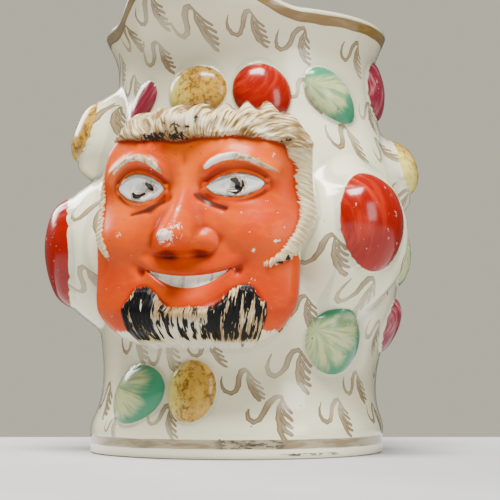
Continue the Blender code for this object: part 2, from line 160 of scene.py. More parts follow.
# Sprigs out of the photograph's sight, all in mm but the number of rows. A margin is how far a sprig keeps
# from another thing, round and up.
SPRIG_GAP_ROUND = 21.0
SPRIG_GAP_UP = 16.5
LOWEST_SPRIG = 11.0
HIGHEST_SPRIG = 133.0
SPRIG_ROWS = 9
FRUIT_MARGIN = (6.0, 4.5)
HANDLE_MARGIN = (15.0, 12.0)
SPRIG_MARGIN = (16.0, 11.5)
# The turns that the photograph shows, in degrees
SHOWN_TURNS = (-62.0, 104.0)

# Strokes of one sprig, in mm from its apex: x, y and half width along each stroke
STEM_STROKE = (
    (-8.6, -0.9, 0.08), (-9.4, -2.9, 0.36), (-9.4, -4.9, 0.52), (-8.6, -6.7, 0.60), (-6.8, -7.6, 0.64),
    (-5.1, -6.8, 0.74), (-4.0, -4.8, 0.90), (-3.4, -2.2, 0.98), (-2.2, -0.3, 0.84), (-0.8, 0.3, 0.62),
    (0.2, -0.5, 0.36),
)
LEAF_STROKES = (
    ((0.3, -0.6, 0.24), (-0.2, -3.2, 0.60), (0.0, -6.2, 0.76), (1.2, -9.2, 0.74), (3.0, -11.5, 0.60),
     (4.8, -12.7, 0.46)),
    ((0.5, -0.9, 0.28), (1.9, -3.2, 0.40), (3.9, -4.8, 0.36)),
    ((0.3, -2.6, 0.42), (1.9, -5.1, 0.48), (4.3, -6.7, 0.40)),
    ((0.4, -5.0, 0.52), (2.1, -7.3, 0.52), (4.5, -8.7, 0.42)),
    ((1.0, -7.4, 0.56), (2.9, -9.5, 0.52), (5.2, -10.6, 0.40)),
)
SPRIG_MIDDLE = (-2.0, -6.1)
SPRIG_SWAY = 0.20
STROKE_BLEND = 0.10
STROKE_SPREAD = 0.09
# Where the ribs of a ribbed fruit start, in shares of its half width and half length
FRUIT_STEM = (-0.78, 0.34, 0.0)


# The moulded form, as the solid has it


def smooth_step(share):
    share = np.clip(share, 0.0, 1.0)
    return share * share * (3.0 - 2.0 * share)


def dome(across, along, power):
    """A rounded cap of height 1 on the unit circle, steeper at its edge for a smaller power."""
    return np.clip(1.0 - across**2 - along**2, 0.0, 1.0) ** power


def mound(across, along):
    """A soft bump of height 1 with no edge."""
    return np.exp(-(across**2) - along**2)


def curve_through(points, value):
    """A smooth curve through the points, read at each value."""
    places = np.array([point[0] for point in points])
    heights = np.array([point[1] for point in points])
    slopes = np.gradient(heights, places)
    value = np.clip(value, places[0], places[-1])
    index = np.clip(np.searchsorted(places, value) - 1, 0, len(places) - 2)
    step = places[index + 1] - places[index]
    t = (value - places[index]) / step
    start = heights[index] * (1.0 + 2.0 * t) * (1.0 - t) ** 2 + slopes[index] * step * t * (1.0 - t) ** 2
    end = heights[index + 1] * (3.0 - 2.0 * t) * t**2 + slopes[index + 1] * step * (t - 1.0) * t**2
    return start + end


def turn_between(turn, centre):
    """The signed angle from one direction to another, in degrees."""
    return (turn - centre + 180.0) % 360.0 - 180.0


def rounded_box_distance(across, along, half_width, half_height, corner):
    """Distance outside a rectangle with round corners, negative inside."""
    over_x = np.abs(across) - half_width + corner
    over_y = np.abs(along) - half_height + corner
    outside = np.hypot(np.maximum(over_x, 0.0), np.maximum(over_y, 0.0))
    return outside + np.minimum(np.maximum(over_x, over_y), 0.0) - corner


def turned_profile(height):
    return curve_through(PROFILE, height / RIM_HEIGHT)


def swellings(turn, height):
    """The broad bulges that the body pushes out under its largest fruit."""
    total = np.zeros_like(height)
    for centre, middle, half_angle, half_height, share in SWELLINGS:
        across = turn_between(turn, centre) / half_angle
        along = (height / RIM_HEIGHT - middle) / half_height
        total = np.maximum(total, share * smooth_step(1.35 * dome(across, along, 1.0)))
    return total * SIDE_SWELLING


def fruit_relief(turn, height, radius):
    """Egg-shaped bosses, a quarter as proud as they are wide."""
    total = np.zeros_like(height)
    for centre, middle, width, length, lean, _, _ in FRUIT:
        across = np.radians(turn_between(turn, centre)) * radius / FRUIT_SIZE
        along = (height - middle * RIM_HEIGHT) / FRUIT_SIZE
        turned = math.radians(lean)
        side = across * math.cos(turned) + along * math.sin(turned)
        rise = along * math.cos(turned) - across * math.sin(turned)
        cap = dome(2.0 * side / width, 2.0 * rise / length, 0.62)
        total = np.maximum(total, FRUIT_PROUD * min(width, length) * cap)
    return total * FRUIT_SIZE


def mask_places(turn, height):
    """Places on the mask as shares of its size: across from its midline, and up from its chin."""
    across = np.radians(turn_between(turn, 0.0)) * (MASK_RADIUS - WALL) / MASK_SIZE
    return across, (height - CHIN * RIM_HEIGHT) / MASK_SIZE


def mask_distance(across, up):
    """How far inside the mask's outline a place is, in shares of its size."""
    crown = smooth_step((up - 0.60) / 0.30)
    fur = 0.030 * smooth_step((up - 0.36) / 0.20) * (1.0 - crown)
    middle = 0.012 + 0.068 * crown + fur
    half_width = 0.478 - 0.008 * crown + fur
    tufts = 0.016 * np.cos(across * 62.0) * smooth_step((up - 0.80) / 0.15)
    return -rounded_box_distance(across - middle, up + tufts - 0.50, half_width, 0.50, 0.22)


def mask_cover(across, up):
    """1 over the face and its hair, 0 on the body, with a rounded shoulder between."""
    return np.sqrt(1.0 - (1.0 - np.clip(mask_distance(across, up) / 0.075, 0.0, 1.0)) ** 2)


def ramp(value, start, end):
    """Rises smoothly from 0 where value is start to 1 where it is end."""
    return smooth_step((value - start) / (end - start))


def soft_maximum(first, second, blend):
    """The larger of two reliefs, with a fillet where they meet."""
    return 0.5 * (first + second + np.sqrt((first - second) ** 2 + blend**2) - blend)


def line(distance, width):
    """A soft rounded ridge along the places where distance is 0."""
    return np.exp(-((distance / width) ** 2))


def segment_distance(across, up, start, end):
    """Distance from a straight stroke between two places, and the share of it that is nearest."""
    run_x, run_y = end[0] - start[0], end[1] - start[1]
    share = ((across - start[0]) * run_x + (up - start[1]) * run_y) / (run_x**2 + run_y**2)
    share = np.clip(share, 0.0, 1.0)
    return np.hypot(across - start[0] - share * run_x, up - start[1] - share * run_y), share


def lid_opening(across, side, up):
    """How far along the almond eye a place is, its height over the middle, and half the opening there."""
    half_width = np.where(across < 0.0, 0.104, 0.112)
    reach = (side - 0.197) / half_width
    rise = up - 0.650 - 0.006 * reach
    return reach, rise, np.where(across < 0.0, 0.052, 0.041) * np.clip(1.0 - reach**2, 0.0, 1.0) ** 0.9


def eye_relief(across, side, up):
    """A sunk socket with a bulging almond eye, its two lids and the bag below. The left eye is rounder."""
    reach, rise, lid = lid_opening(across, side, up)
    open_eye = ramp(lid - np.abs(rise), -0.004, 0.010)
    ball = 0.030 * dome(reach / 1.05, rise / 0.085, 0.5)
    lids = 0.017 * line(np.abs(rise) - lid - 0.009, 0.013) * ramp(1.25 - np.abs(reach), 0.0, 0.25)
    socket = -0.040 * mound((side - 0.165) / 0.135, (up - 0.652) / 0.070)
    bag = -0.008 * line(segment_distance(side, up, (0.060, 0.600), (0.150, 0.552))[0], 0.018)
    pouch = 0.010 * mound((side - 0.150) / 0.080, (up - 0.575) / 0.020)
    return socket + ball * open_eye + lids + bag + pouch


def brow_arch(side):
    return 0.705 + 0.068 * np.cos(np.clip((side - 0.205) / 0.150, -1.0, 1.0) * math.pi / 2.0) ** 1.3


def brow_relief(side, up):
    """An arched brow from the root of the nose to the temple."""
    ends = ramp(side, 0.050, 0.100) * ramp(side, 0.385, 0.330)
    ridge = 0.018 * line(up - brow_arch(side), 0.028) * ends
    return ridge + 0.020 * mound((side - 0.2) / 0.2, (up - 0.75) / 0.08)


def nose_relief(across, side, up):
    """A long straight nose that broadens to its tip, with a wing on each side."""
    slope = np.clip((0.690 - up) / (0.690 - 0.435), 0.0, 1.0)
    under = ramp(up, 0.360, 0.405)
    width = 0.056 + 0.020 * slope**1.5
    bridge = (0.036 + 0.114 * slope**1.25) * line(across - 0.020 + 0.030 * slope, width) * under
    bridge = bridge * ramp(up, 0.790, 0.670)
    tip = 0.040 * mound((across + 0.018) / 0.062, (up - 0.446) / 0.060) * under
    wing = 0.050 * dome((side - 0.074) / 0.066, (up - 0.424) / 0.060, 1.20)
    nostril = -0.024 * mound((side - 0.060) / 0.036, (up - 0.374) / 0.020)
    return soft_maximum(bridge + tip, wing, 0.034) + nostril


def lip_lines(side):
    """The upper and the lower edge of the grin's row of teeth."""
    return 0.283 + 0.95 * side**2, 0.232 + 2.72 * side**2


def mouth_relief(side, up):
    """A grin that shows the teeth, with its lips and the folds beside it."""
    top, bottom = lip_lines(side)
    gape = np.minimum(top - up, up - bottom)
    teeth = -0.017 * ramp(gape, -0.008, 0.005)
    corner = ramp(side, 0.235, 0.180)
    upper_lip = 0.007 * line(up - top - 0.024, 0.030) * corner
    lower_lip = 0.008 * line(up - bottom + 0.040, 0.040) * ramp(side, 0.215, 0.090)
    dimple = -0.018 * mound((side - 0.196) / 0.022, (up - 0.305) / 0.026)
    fold = -0.009 * line(segment_distance(side, up, (0.138, 0.430), (0.218, 0.335))[0], 0.030)
    hollow = -0.007 * line(up - bottom + 0.084, 0.024) * ramp(side, 0.180, 0.090)
    return teeth + upper_lip + lower_lip + dimple + fold + hollow


def cheek_relief(side, up):
    """Full cheeks over the grin, hollow temples and a heavy jaw."""
    cheek = 0.046 * mound((side - 0.285) / 0.120, (up - 0.440) / 0.110)
    jowl = 0.020 * mound((side - 0.320) / 0.120, (up - 0.230) / 0.120)
    temple = -0.014 * mound((side - 0.420) / 0.060, (up - 0.660) / 0.120)
    return cheek + jowl + temple


def beard_edges(side, up):
    """How far below the beard's top line, and how far inside its ends, a place is."""
    top = 0.153 + 0.090 * ramp(side, 0.070, 0.190) - 0.070 * ramp(side, 0.220, 0.280)
    return top - up, 0.290 - 0.9 * (up - 0.130) ** 2 - side


def beard_cover(side, up):
    """1 on the short beard, which rises in a point on each side of the mouth."""
    below, inside = beard_edges(side, up)
    return ramp(below, 0.0, 0.022) * ramp(inside, 0.0, 0.022)


def hair_relief(across, side, up):
    """A fringe of upright locks over the hairline, with a knot in the middle."""
    hairline = hairline_height(across) - 0.004
    fringe = 0.030 * ramp(up - hairline, 0.0, 0.022)
    locks = 0.011 * np.sin(across * (52.0 - 14.0 * up) + 5.0 * up) * ramp(up - hairline, 0.01, 0.04)
    knot = 0.050 * dome((across - 0.004) / 0.115, (up - 0.925) / 0.085, 0.7)
    return fringe + locks * (1.0 - 0.6 * knot / 0.050) + knot


def mask_relief(across, up):
    """The carving of the face, in shares of the mask's size."""
    side = np.abs(across - 0.012)
    chin = 0.052 * mound((across - 0.020) / 0.210, (up - 0.115) / 0.085)
    frown = -0.006 * mound((across - 0.012) / 0.022, (up - 0.745) / 0.045)
    total = eye_relief(across, side, up) + brow_relief(side, up) + nose_relief(across, side, up)
    total = total + mouth_relief(np.abs(across - 0.024), up) + cheek_relief(side, up) + chin + frown
    return total + 0.020 * beard_cover(np.abs(across - 0.045), up) + hair_relief(across, side, up)


def mask_surface(up):
    """The mask's own radius at its midline, falling back at chin and crown."""
    crown = smooth_step((up - 0.80) / 0.22)
    jaw = smooth_step((0.16 - up) / 0.18)
    return MASK_RADIUS - 0.055 * MASK_SIZE * crown - 0.060 * MASK_SIZE * jaw


def spout_share(turn):
    """1 at the middle of the pouring lip, 0 past its ends."""
    across = np.clip(np.abs(turn_between(turn, SPOUT_TURN)) / SPOUT_HALF_ANGLE, 0.0, 1.0)
    return np.cos(across * math.pi / 2.0) ** 2


def rim_height(turn):
    return RIM_HEIGHT + SPOUT_RISE * spout_share(turn)


def spout_projection(turn, height):
    """How far the lip is pulled out, from nothing at the neck to its full reach at the rim."""
    neck = NECK * RIM_HEIGHT
    climb = np.clip((height - neck) / (rim_height(turn) - neck), 0.0, 1.0)
    return SPOUT_REACH * spout_share(turn) * climb**1.6


def hand_wobble(turn, height):
    """The slight unevenness that pressing clay into a mould leaves."""
    angle = np.radians(turn)
    up = height * 1000.0
    waves = np.sin(3.0 * angle + 0.07 * up) + 0.7 * np.sin(7.0 * angle - 0.11 * up + 1.3)
    waves = waves + 0.5 * np.sin(13.0 * angle + 0.19 * up + 4.0) + 0.4 * np.sin(0.33 * up + 2.0 * angle)
    return 0.00009 * waves


def outer_radius(turn, height, fine=True):
    plain = turned_profile(height) + spout_projection(turn, height)
    swollen = plain + swellings(turn, height)
    across, up = mask_places(turn, height)
    cover = mask_cover(across, up)
    relief = mask_relief(across, up)
    if fine:
        relief = relief + fine_relief(across, up)
        swollen = swollen + hand_wobble(turn, height)
    face = np.maximum(mask_surface(up), swollen) + MASK_SIZE * relief
    fruit = fruit_relief(turn, height, swollen) * (1.0 - cover)
    return swollen + (face - swollen) * cover + fruit


def inner_radius(turn, height):
    """The inside follows the broad form only, so the wall is thickest behind the carving."""
    plain = turned_profile(height) + spout_projection(turn, height) + 0.7 * swellings(turn, height)
    across, up = mask_places(turn, height)
    behind_mask = mound(across / 0.42, (up - 0.48) / 0.42)
    return plain - WALL + 0.6 * behind_mask * np.maximum(MASK_RADIUS - plain, 0.0)


def section_centre(height):
    """The foot sits a little off the axis of the rim."""
    share = 1.0 - smooth_step(height / (0.45 * RIM_HEIGHT))
    return FOOT_SHIFT_X * share, FOOT_SHIFT_Y * share


def place(turn, radius, height):
    """A point of the wall, from its turn in degrees, its radius and its height."""
    shift_x, shift_y = section_centre(height)
    angle = np.radians(turn)
    return np.stack(
        (shift_x + radius * np.sin(angle), shift_y - radius * np.cos(angle), height),
        axis=-1,
    )


# What is painted where on the mask, as distances inside each painted edge, in shares of its size


def chain_distance(across, up, points):
    """Distance from a chain of strokes, and less where its half width, the third number, is more."""
    nearest = np.full_like(across, 9.0)
    for start, end in zip(points, points[1:]):
        gap, share = segment_distance(across, up, start, end)
        nearest = np.minimum(nearest, gap - start[2] - share * (end[2] - start[2]))
    return nearest


def inside_chains(across, up, chains):
    """How far inside the nearest of several chains a place is, negative outside them."""
    return -np.minimum.reduce([chain_distance(across, up, chain) for chain in chains])


def hairline_height(across):
    """The lower edge of the painted hair, which dips at the temples."""
    dips = -0.011 * line(across + 0.004, 0.055) - 0.046 * ramp(across, 0.24, 0.47)
    return 0.850 + dips + 0.010 * ramp(across, -0.10, -0.25) + 0.003 * np.sin(across * 40.0)


def hair_inside(across, up):
    return np.minimum(up - hairline_height(across), mask_distance(across, up) + 0.010)


FUR = (
    ((0.466, 0.850, 0.074), (0.466, 0.795, 0.058), (0.479, 0.745, 0.040), (0.480, 0.700, 0.037),
     (0.486, 0.640, 0.038), (0.495, 0.585, 0.038), (0.495, 0.534, 0.036), (0.485, 0.491, 0.035),
     (0.465, 0.443, 0.036), (0.430, 0.398, 0.032), (0.384, 0.356, 0.020), (0.330, 0.326, 0.010)),
    ((-0.425, 0.800, 0.030), (-0.428, 0.700, 0.042), (-0.424, 0.600, 0.044), (-0.402, 0.500, 0.040),
     (-0.362, 0.430, 0.028), (-0.318, 0.372, 0.010)),
)
BROWS = (
    ((-0.300, 0.716, 0.004), (-0.262, 0.748, 0.009), (-0.217, 0.771, 0.012), (-0.172, 0.777, 0.014),
     (-0.134, 0.762, 0.015), (-0.104, 0.737, 0.014), (-0.086, 0.714, 0.008)),
    ((0.098, 0.722, 0.009), (0.122, 0.742, 0.014), (0.155, 0.758, 0.015), (0.205, 0.766, 0.015),
     (0.256, 0.755, 0.012), (0.303, 0.732, 0.010), (0.345, 0.713, 0.007), (0.376, 0.702, 0.003)),
)
UNDER_EYE_STROKES = (
    ((-0.216, 0.541, 0.001), (-0.162, 0.553, 0.004), (-0.112, 0.576, 0.005), (-0.080, 0.590, 0.002)),
    ((0.058, 0.612, 0.003), (0.085, 0.592, 0.007), (0.120, 0.572, 0.007), (0.176, 0.556, 0.002)),
)
PUPIL_STROKES = (
    ((0.193, 0.671, 0.006), (0.209, 0.669, 0.010), (0.218, 0.655, 0.009), (0.213, 0.645, 0.008)),
    ((0.218, 0.646, 0.006), (0.228, 0.632, 0.010), (0.212, 0.621, 0.010), (0.193, 0.626, 0.008)),
    ((0.236, 0.668, 0.004), (0.240, 0.645, 0.006)),
    ((-0.214, 0.632, 0.005), (-0.203, 0.619, 0.010), (-0.186, 0.617, 0.010), (-0.164, 0.629, 0.006)),
    ((-0.156, 0.668, 0.007), (-0.140, 0.656, 0.013), (-0.130, 0.645, 0.009)),
)
IRISES = ((0.212, 0.646, 0.035), (-0.172, 0.644, 0.042))

# Worn places: across, up, half width, half height, strength
WORN = (
    (-0.012, 0.432, 0.056, 0.052, 0.66), (0.020, 0.470, 0.026, 0.044, 0.56),
    # The two spots on the bridge of the nose are a painted highlight, laid on as bare glaze.
    (0.014, 0.552, 0.012, 0.022, 0.66), (0.006, 0.580, 0.010, 0.012, 0.50),
    (0.110, 0.455, 0.040, 0.018, 0.42), (-0.256, 0.457, 0.024, 0.020, 0.62),
    (0.277, 0.383, 0.012, 0.022, 0.66), (0.361, 0.420, 0.020, 0.010, 0.80),
    (0.391, 0.477, 0.006, 0.012, 0.70), (0.368, 0.536, 0.008, 0.005, 0.75),
    (0.388, 0.599, 0.005, 0.006, 0.70), (0.262, 0.455, 0.006, 0.006, 0.60),
    (-0.300, 0.250, 0.020, 0.030, 0.30), (0.300, 0.752, 0.030, 0.012, 0.40),
    (0.352, 0.775, 0.014, 0.022, 0.50), (0.330, 0.150, 0.010, 0.006, 0.55),
    (-0.245, 0.300, 0.010, 0.006, 0.50), (0.180, 0.300, 0.030, 0.006, 0.30),
)
# Black flecks and smudges: across, up, half width, half height, strength
SOOTY = (
    (-0.110, 0.860, 0.115, 0.022, 0.76), (-0.010, 0.852, 0.075, 0.020, 0.74),
    (-0.010, 0.885, 0.030, 0.036, 0.62), (0.032, 0.886, 0.014, 0.008, 0.85),
    (0.069, 0.922, 0.009, 0.024, 1.00), (-0.052, 0.905, 0.020, 0.030, 0.45),
    (0.400, 0.830, 0.036, 0.012, 0.55), (0.405, 0.352, 0.016, 0.022, 0.75),
    (0.372, 0.334, 0.024, 0.007, 0.90), (0.362, 0.412, 0.016, 0.006, 0.60),
    (0.380, 0.425, 0.006, 0.005, 0.85),
)


def strength_of(spots, across, up):
    """How strongly any of the spots marks each place."""
    total = np.zeros_like(across)
    for centre, middle, half_width, half_height, share in spots:
        total = np.maximum(total, share * mound((across - centre) / half_width, (up - middle) / half_height))
    return total


def combing(across, up):
    """Where each place lies across and along the strands of hair, fur and beard, in shares."""
    lean = np.clip((across - 0.04) * 2.3, -0.55, 1.10)
    lean = np.where(up > hairline_height(across) - 0.02, lean, 0.0)
    fur = (up < hairline_height(across) - 0.02) & (np.abs(across - 0.03) > 0.34)
    lean = np.where(fur, np.where(across > 0.0, 1.95, -1.95), lean)
    lean = np.where(up < 0.28, 0.35 * (across - 0.045), lean)
    rise = up - 0.86
    return across * np.cos(lean) - rise * np.sin(lean), across * np.sin(lean) + rise * np.cos(lean)


def fine_relief(across, up):
    """Strands, tooth gaps, iris rings, brow beads and fur, in shares of the mask's size."""
    strand, along = combing(across, up)
    hair = ramp(hair_inside(across, up), 0.0, 0.020)
    strands = 0.0042 * np.sin(strand * 190.0 + 2.0 * np.sin(along * 21.0))
    strands = strands + 0.0026 * np.sin(strand * 341.0 + 3.0 * np.sin(along * 17.0 + 1.0))
    total = hair * strands
    pelt = 0.010 + 0.0030 * np.sin(strand * 290.0 + 2.0 * np.sin(along * 30.0))
    total = total + ramp(inside_chains(across, up, FUR), -0.006, 0.012) * pelt
    below, inside = beard_edges(np.abs(across - 0.045), up)
    beard = ramp(np.minimum(below, inside), 0.0, 0.015)
    ribs = np.sin(strand * 250.0 + 1.6 * np.sin(up * 40.0 + strand * 20.0))
    total = total + beard * 0.0046 * ribs
    for brow in BROWS:
        ridge = ramp(-chain_distance(across, up, brow), -0.006, 0.006)
        total = total + ridge * (0.006 + 0.0022 * np.sin(across * 330.0) * np.sin(up * 210.0 + 1.0))
    for centre, middle, radius in IRISES:
        gap = np.hypot(across - centre, up - middle)
        total = total + 0.0052 * line(gap - radius, 0.0065) - 0.0050 * line(gap, 0.016)
    side = np.abs(across - 0.024)
    top, bottom = lip_lines(side)
    gape = np.minimum(top - up, up - bottom)
    gaps = line(np.sin((across - 0.028) * 74.0 + 0.5 * np.sin(across * 31.0)), 0.22)
    total = total - 0.0045 * gaps * ramp(gape, 0.0, 0.010)
    creases = np.maximum(-inside_chains(across, up, UNDER_EYE_STROKES), 0.0)
    return total - 0.003 * line(creases, 0.010)


# The jug's mesh

COLUMN_BANDS = ((-180.0, -42.0, 76), (-42.0, 46.0, 186), (46.0, 180.0, 74))
ROW_BANDS = ((0.060, 9), (0.240, 36), (0.790, 152), (1.000, 42))
ROUNDING_STEPS = 4
LIP_STEPS = 7
INSIDE_ROWS = 15
# The unpainted faces that close the skin under the foot and on the floor inside
CAPS = 2
FAR_OUTSIDE = -10.0
HOLLOW_PASSES = 8
PROUD_PASSES = 60
LIP_STEP_MM = 1.5


def column_turns():
    """Edges of the columns from the back seam round to it again, closest over the mask."""
    turns = [np.linspace(start, end, count, endpoint=False) for start, end, count in COLUMN_BANDS]
    return np.concatenate(turns + [np.array([180.0])])


def outside_shares():
    shares = []
    low = EDGE_ROUND / RIM_HEIGHT
    for high, rows in ROW_BANDS:
        shares.extend(np.linspace(low, high, rows, endpoint=False))
        low = high
    return np.array(shares + [1.0])


def outside_heights(share, turns):
    """Level rows up to the neck, then rows that climb with the pouring lip."""
    level = np.full_like(turns, share * RIM_HEIGHT)
    climb = (share - NECK) / (1.0 - NECK)
    lifted = NECK * RIM_HEIGHT + climb * (rim_height(turns) - NECK * RIM_HEIGHT)
    return np.where(share > NECK, lifted, level)


def skin_rows(turns):
    """Every row of the skin as points, with its depth below the rim in mm, negative past the rim."""
    zero = np.zeros_like(turns)
    top = rim_height(turns)
    rows, depths = [], []

    def add(radius, height, depth=None):
        rows.append(place(turns, radius, height))
        depths.append((top - height) * 1000.0 if depth is None else zero + depth)

    foot = outer_radius(turns, zero + EDGE_ROUND)
    for step in range(ROUNDING_STEPS):
        angle = 0.5 * math.pi * step / ROUNDING_STEPS
        add(foot - EDGE_ROUND * (1.0 - math.sin(angle)), zero + EDGE_ROUND * (1.0 - math.cos(angle)))
    for share in outside_shares():
        heights = outside_heights(share, turns)
        add(outer_radius(turns, heights), heights)
    outer, inner = outer_radius(turns, top), inner_radius(turns, top)
    for step in range(1, LIP_STEPS):
        angle = math.pi * step / LIP_STEPS
        radius = 0.5 * (outer + inner) + 0.5 * (outer - inner) * math.cos(angle)
        add(radius, top + EDGE_ROUND * math.sin(angle), -LIP_STEP_MM * step)
    floor_round = 2.0 * EDGE_ROUND
    for share in np.linspace(1.0, 0.0, INSIDE_ROWS):
        heights = FLOOR_THICKNESS + floor_round + share * (top - FLOOR_THICKNESS - floor_round)
        add(inner_radius(turns, heights), heights, FAR_OUTSIDE)
    low_radius = inner_radius(turns, zero + FLOOR_THICKNESS + floor_round)
    for step in range(1, ROUNDING_STEPS + 1):
        angle = 0.5 * math.pi * step / ROUNDING_STEPS
        height = FLOOR_THICKNESS + floor_round * (1.0 - math.sin(angle))
        add(low_radius - floor_round * (1.0 - math.cos(angle)), zero + height, FAR_OUTSIDE)
    return np.array(rows), np.array(depths)


def blurred(grid, passes):
    """The grid with its small forms smoothed away, wrapping round the jug."""
    for _ in range(passes):
        grid = 0.25 * np.roll(grid, 1, axis=1) + 0.5 * grid + 0.25 * np.roll(grid, -1, axis=1)
        padded = np.concatenate((grid[:1], grid, grid[-1:]))
        grid = 0.25 * padded[:-2] + 0.5 * padded[1:-1] + 0.25 * padded[2:]
    return grid


def hidden_sprigs():
    """Sprigs for the side away from the camera, in staggered rows with the painter's small slips."""
    chance = np.random.default_rng(7)
    placed = [(turn, height) for turn, height, _, _ in FRONT_SPRIGS]
    found = []
    count = int(2.0 * math.pi * WRAP_RADIUS / SPRIG_GAP_ROUND)
    for row in range(SPRIG_ROWS):
        height = LOWEST_SPRIG + row * SPRIG_GAP_UP
        for i in range(count):
            turn = -180.0 + 360.0 * (i + 0.5 * (row % 2)) / count + chance.uniform(-3.0, 3.0)
            spot = height + chance.uniform(-2.0, 2.0)
            size = chance.uniform(0.76, 0.92)
            lean = chance.uniform(-8.0, 10.0)
            shown = SHOWN_TURNS[0] < turn < SHOWN_TURNS[1]
            if not shown and spot <= HIGHEST_SPRIG and clear_of_others(turn, spot, placed):
                placed.append((turn, spot))
                found.append((turn, spot, size, lean))
    return found


def half_mm(share):
    """Half a fruit's width or length in mm, from its share of FRUIT_SIZE."""
    return 500.0 * share * FRUIT_SIZE


def too_near(turn, height, other, spot, reach):
    """Whether a place is within an oval reach, in mm, of another turn and height."""
    gap = math.radians(turn_between(turn, other)) * WRAP_RADIUS
    return math.hypot(gap / reach[0], (height - spot) / reach[1]) < 1.0


def clear_of_others(turn, height, placed):
    """Whether a sprig here keeps off the fruit, the handle's roots and the sprigs before it."""
    others = [(centre, middle * RIM_HEIGHT * 1000.0,
               (half_mm(width) + FRUIT_MARGIN[0], half_mm(length) + FRUIT_MARGIN[1]))
              for centre, middle, width, length, *_ in FRUIT]
    others += [(180.0, share * RIM_HEIGHT * 1000.0, HANDLE_MARGIN) for share in (HANDLE_TOP, HANDLE_LOW)]
    others += [(other, spot, SPRIG_MARGIN) for other, spot in placed]
    return not any(too_near(turn, height, *other) for other in others)


def broad_radius(turn, height):
    """The radius without carving, in mm."""
    turn, height = np.atleast_1d(float(turn)), np.atleast_1d(height / 1000.0)
    radius = turned_profile(height) + spout_projection(turn, height) + swellings(turn, height)
    return float(radius[0]) * 1000.0


def seat_on_wrap(turns, between, height, stretch):
    """For each face, where a sprig or fruit sits on the wrap, and how far the wall is stretched there."""
    seat = np.empty((*turns.shape, 3))
    seat[..., 0] = np.radians(turns - between) * WRAP_RADIUS
    seat[..., 1:] = (height, stretch)
    return seat


def nearest_sprigs(turns, heights, sprigs):
    """For each face, where its nearest sprig sits on the wrap, and that sprig's size and lean."""
    best = np.full(turns.shape, 1e9)
    where = np.zeros((*turns.shape, 3))
    shape = np.zeros((*turns.shape, 3))
    for turn, height, size, lean in sprigs:
        between = turn_between(turns, turn)
        stretch = broad_radius(turn, height) / WRAP_RADIUS
        gap = np.hypot(np.radians(between) * WRAP_RADIUS * stretch / 1.35, heights - height)
        nearer = gap < best
        best = np.where(nearer, gap, best)
        where[nearer] = seat_on_wrap(turns, between, height, stretch)[nearer]
        shape[nearer] = (size, math.radians(lean), turn * 0.37 + height * 0.61)
    return where, shape


def nearest_fruit(turns, heights):
    """For each face, its nearest fruit's place, half sizes, lean, colours and kind."""
    best = np.full(turns.shape, 1e9)
    where = np.zeros((*turns.shape, 3))
    shape = np.zeros((*turns.shape, 3))
    colours = np.zeros((2, *turns.shape, 4))
    kind = np.zeros(turns.shape)
    for centre, middle, width, length, lean, paints, brushwork in FRUIT:
        height = middle * RIM_HEIGHT * 1000.0
        stretch = broad_radius(centre, height) / WRAP_RADIUS
        between = turn_between(turns, centre)
        across = np.radians(between) * WRAP_RADIUS * stretch
        along = heights - height
        turned = math.radians(lean)
        half_width, half_length = half_mm(width), half_mm(length)
        side = (across * math.cos(turned) + along * math.sin(turned)) / half_width
        rise = (along * math.cos(turned) - across * math.sin(turned)) / half_length
        gap = np.hypot(side, rise)
        nearer = gap < best
        best = np.where(nearer, gap, best)
        where[nearer] = seat_on_wrap(turns, between, height, stretch)[nearer]
        shape[nearer] = (half_width, half_length, turned)
        colours[0][nearer] = paints[0]
        colours[1][nearer] = paints[1]
        kind[nearer] = brushwork
    return where, shape, colours, kind


EDGE_MAPS = ("face", "hair", "fur", "beard", "eye", "brow", "teeth", "pupil", "creased")
SHARE_MAPS = ("worn", "sooty", "hollow", "proud")
FACE_MAPS = ("sprig_place", "sprig_shape", "fruit_place", "fruit_shape", "fruit_first", "fruit_second",
             "fruit_kind")


def flat_rows(values):
    """A grid of numbers or vectors as one list of them."""
    return values.reshape(-1, values.shape[-1]) if values.ndim == 3 else values.ravel()


def add_maps(mesh, maps, domain="POINT"):
    """Writes each named array on the mesh as an attribute of its kind."""
    kinds = {1: ("FLOAT", "value"), 3: ("FLOAT_VECTOR", "vector"), 4: ("FLOAT_COLOR", "color")}
    for name, values in maps.items():
        values = np.asarray(values, np.float32)
        width = 1 if values.ndim == 1 else values.shape[-1]
        kind, field = kinds[width]
        layer = mesh.attributes.new(name, kind, domain)
        layer.data.foreach_set(field, values.ravel())


def mask_maps(across, up):
    """The painted edges of the mask, in mm inside each."""
    size = MASK_SIZE * 1000.0
    inside = mask_distance(across, up)
    fur = np.minimum(inside_chains(across, up, FUR), hairline_height(across) + 0.01 - up)
    below, ends = beard_edges(np.abs(across - 0.045), up)
    reach, rise, lid = lid_opening(across, np.abs(across - 0.012), up)
    eye = lid + 0.006 * ramp(1.08 - np.abs(reach), 0.0, 0.2) - np.abs(rise)
    eye = np.minimum(eye, (1.06 - np.abs(reach)) * 0.108)
    top, bottom = lip_lines(np.abs(across - 0.024))
    teeth = np.minimum(top - up, up - bottom) * 0.93
    beard = np.minimum(np.minimum(below, ends), inside + 0.006)
    under_fur = 0.052 * ramp(across, 0.36, 0.44) * ramp(up, 0.30, 0.38)
    face = np.minimum(inside + 0.012 - under_fur, up - 0.058)
    chains = [inside_chains(across, up, chosen) for chosen in (BROWS, PUPIL_STROKES, UNDER_EYE_STROKES)]
    brow, pupil, creased = chains
    edges = (face, hair_inside(across, up), fur, beard, eye, brow, teeth, pupil, creased)
    maps = {name: np.clip(edge, -0.13, 0.13) * size for name, edge in zip(EDGE_MAPS, edges)}
    maps["worn"] = strength_of(WORN, across, up)
    maps["sooty"] = strength_of(SOOTY, across, up)
    strand, along = combing(across, up)
    maps["combing"] = np.stack((strand * size, along * size, np.zeros_like(strand)), axis=-1)
    return maps


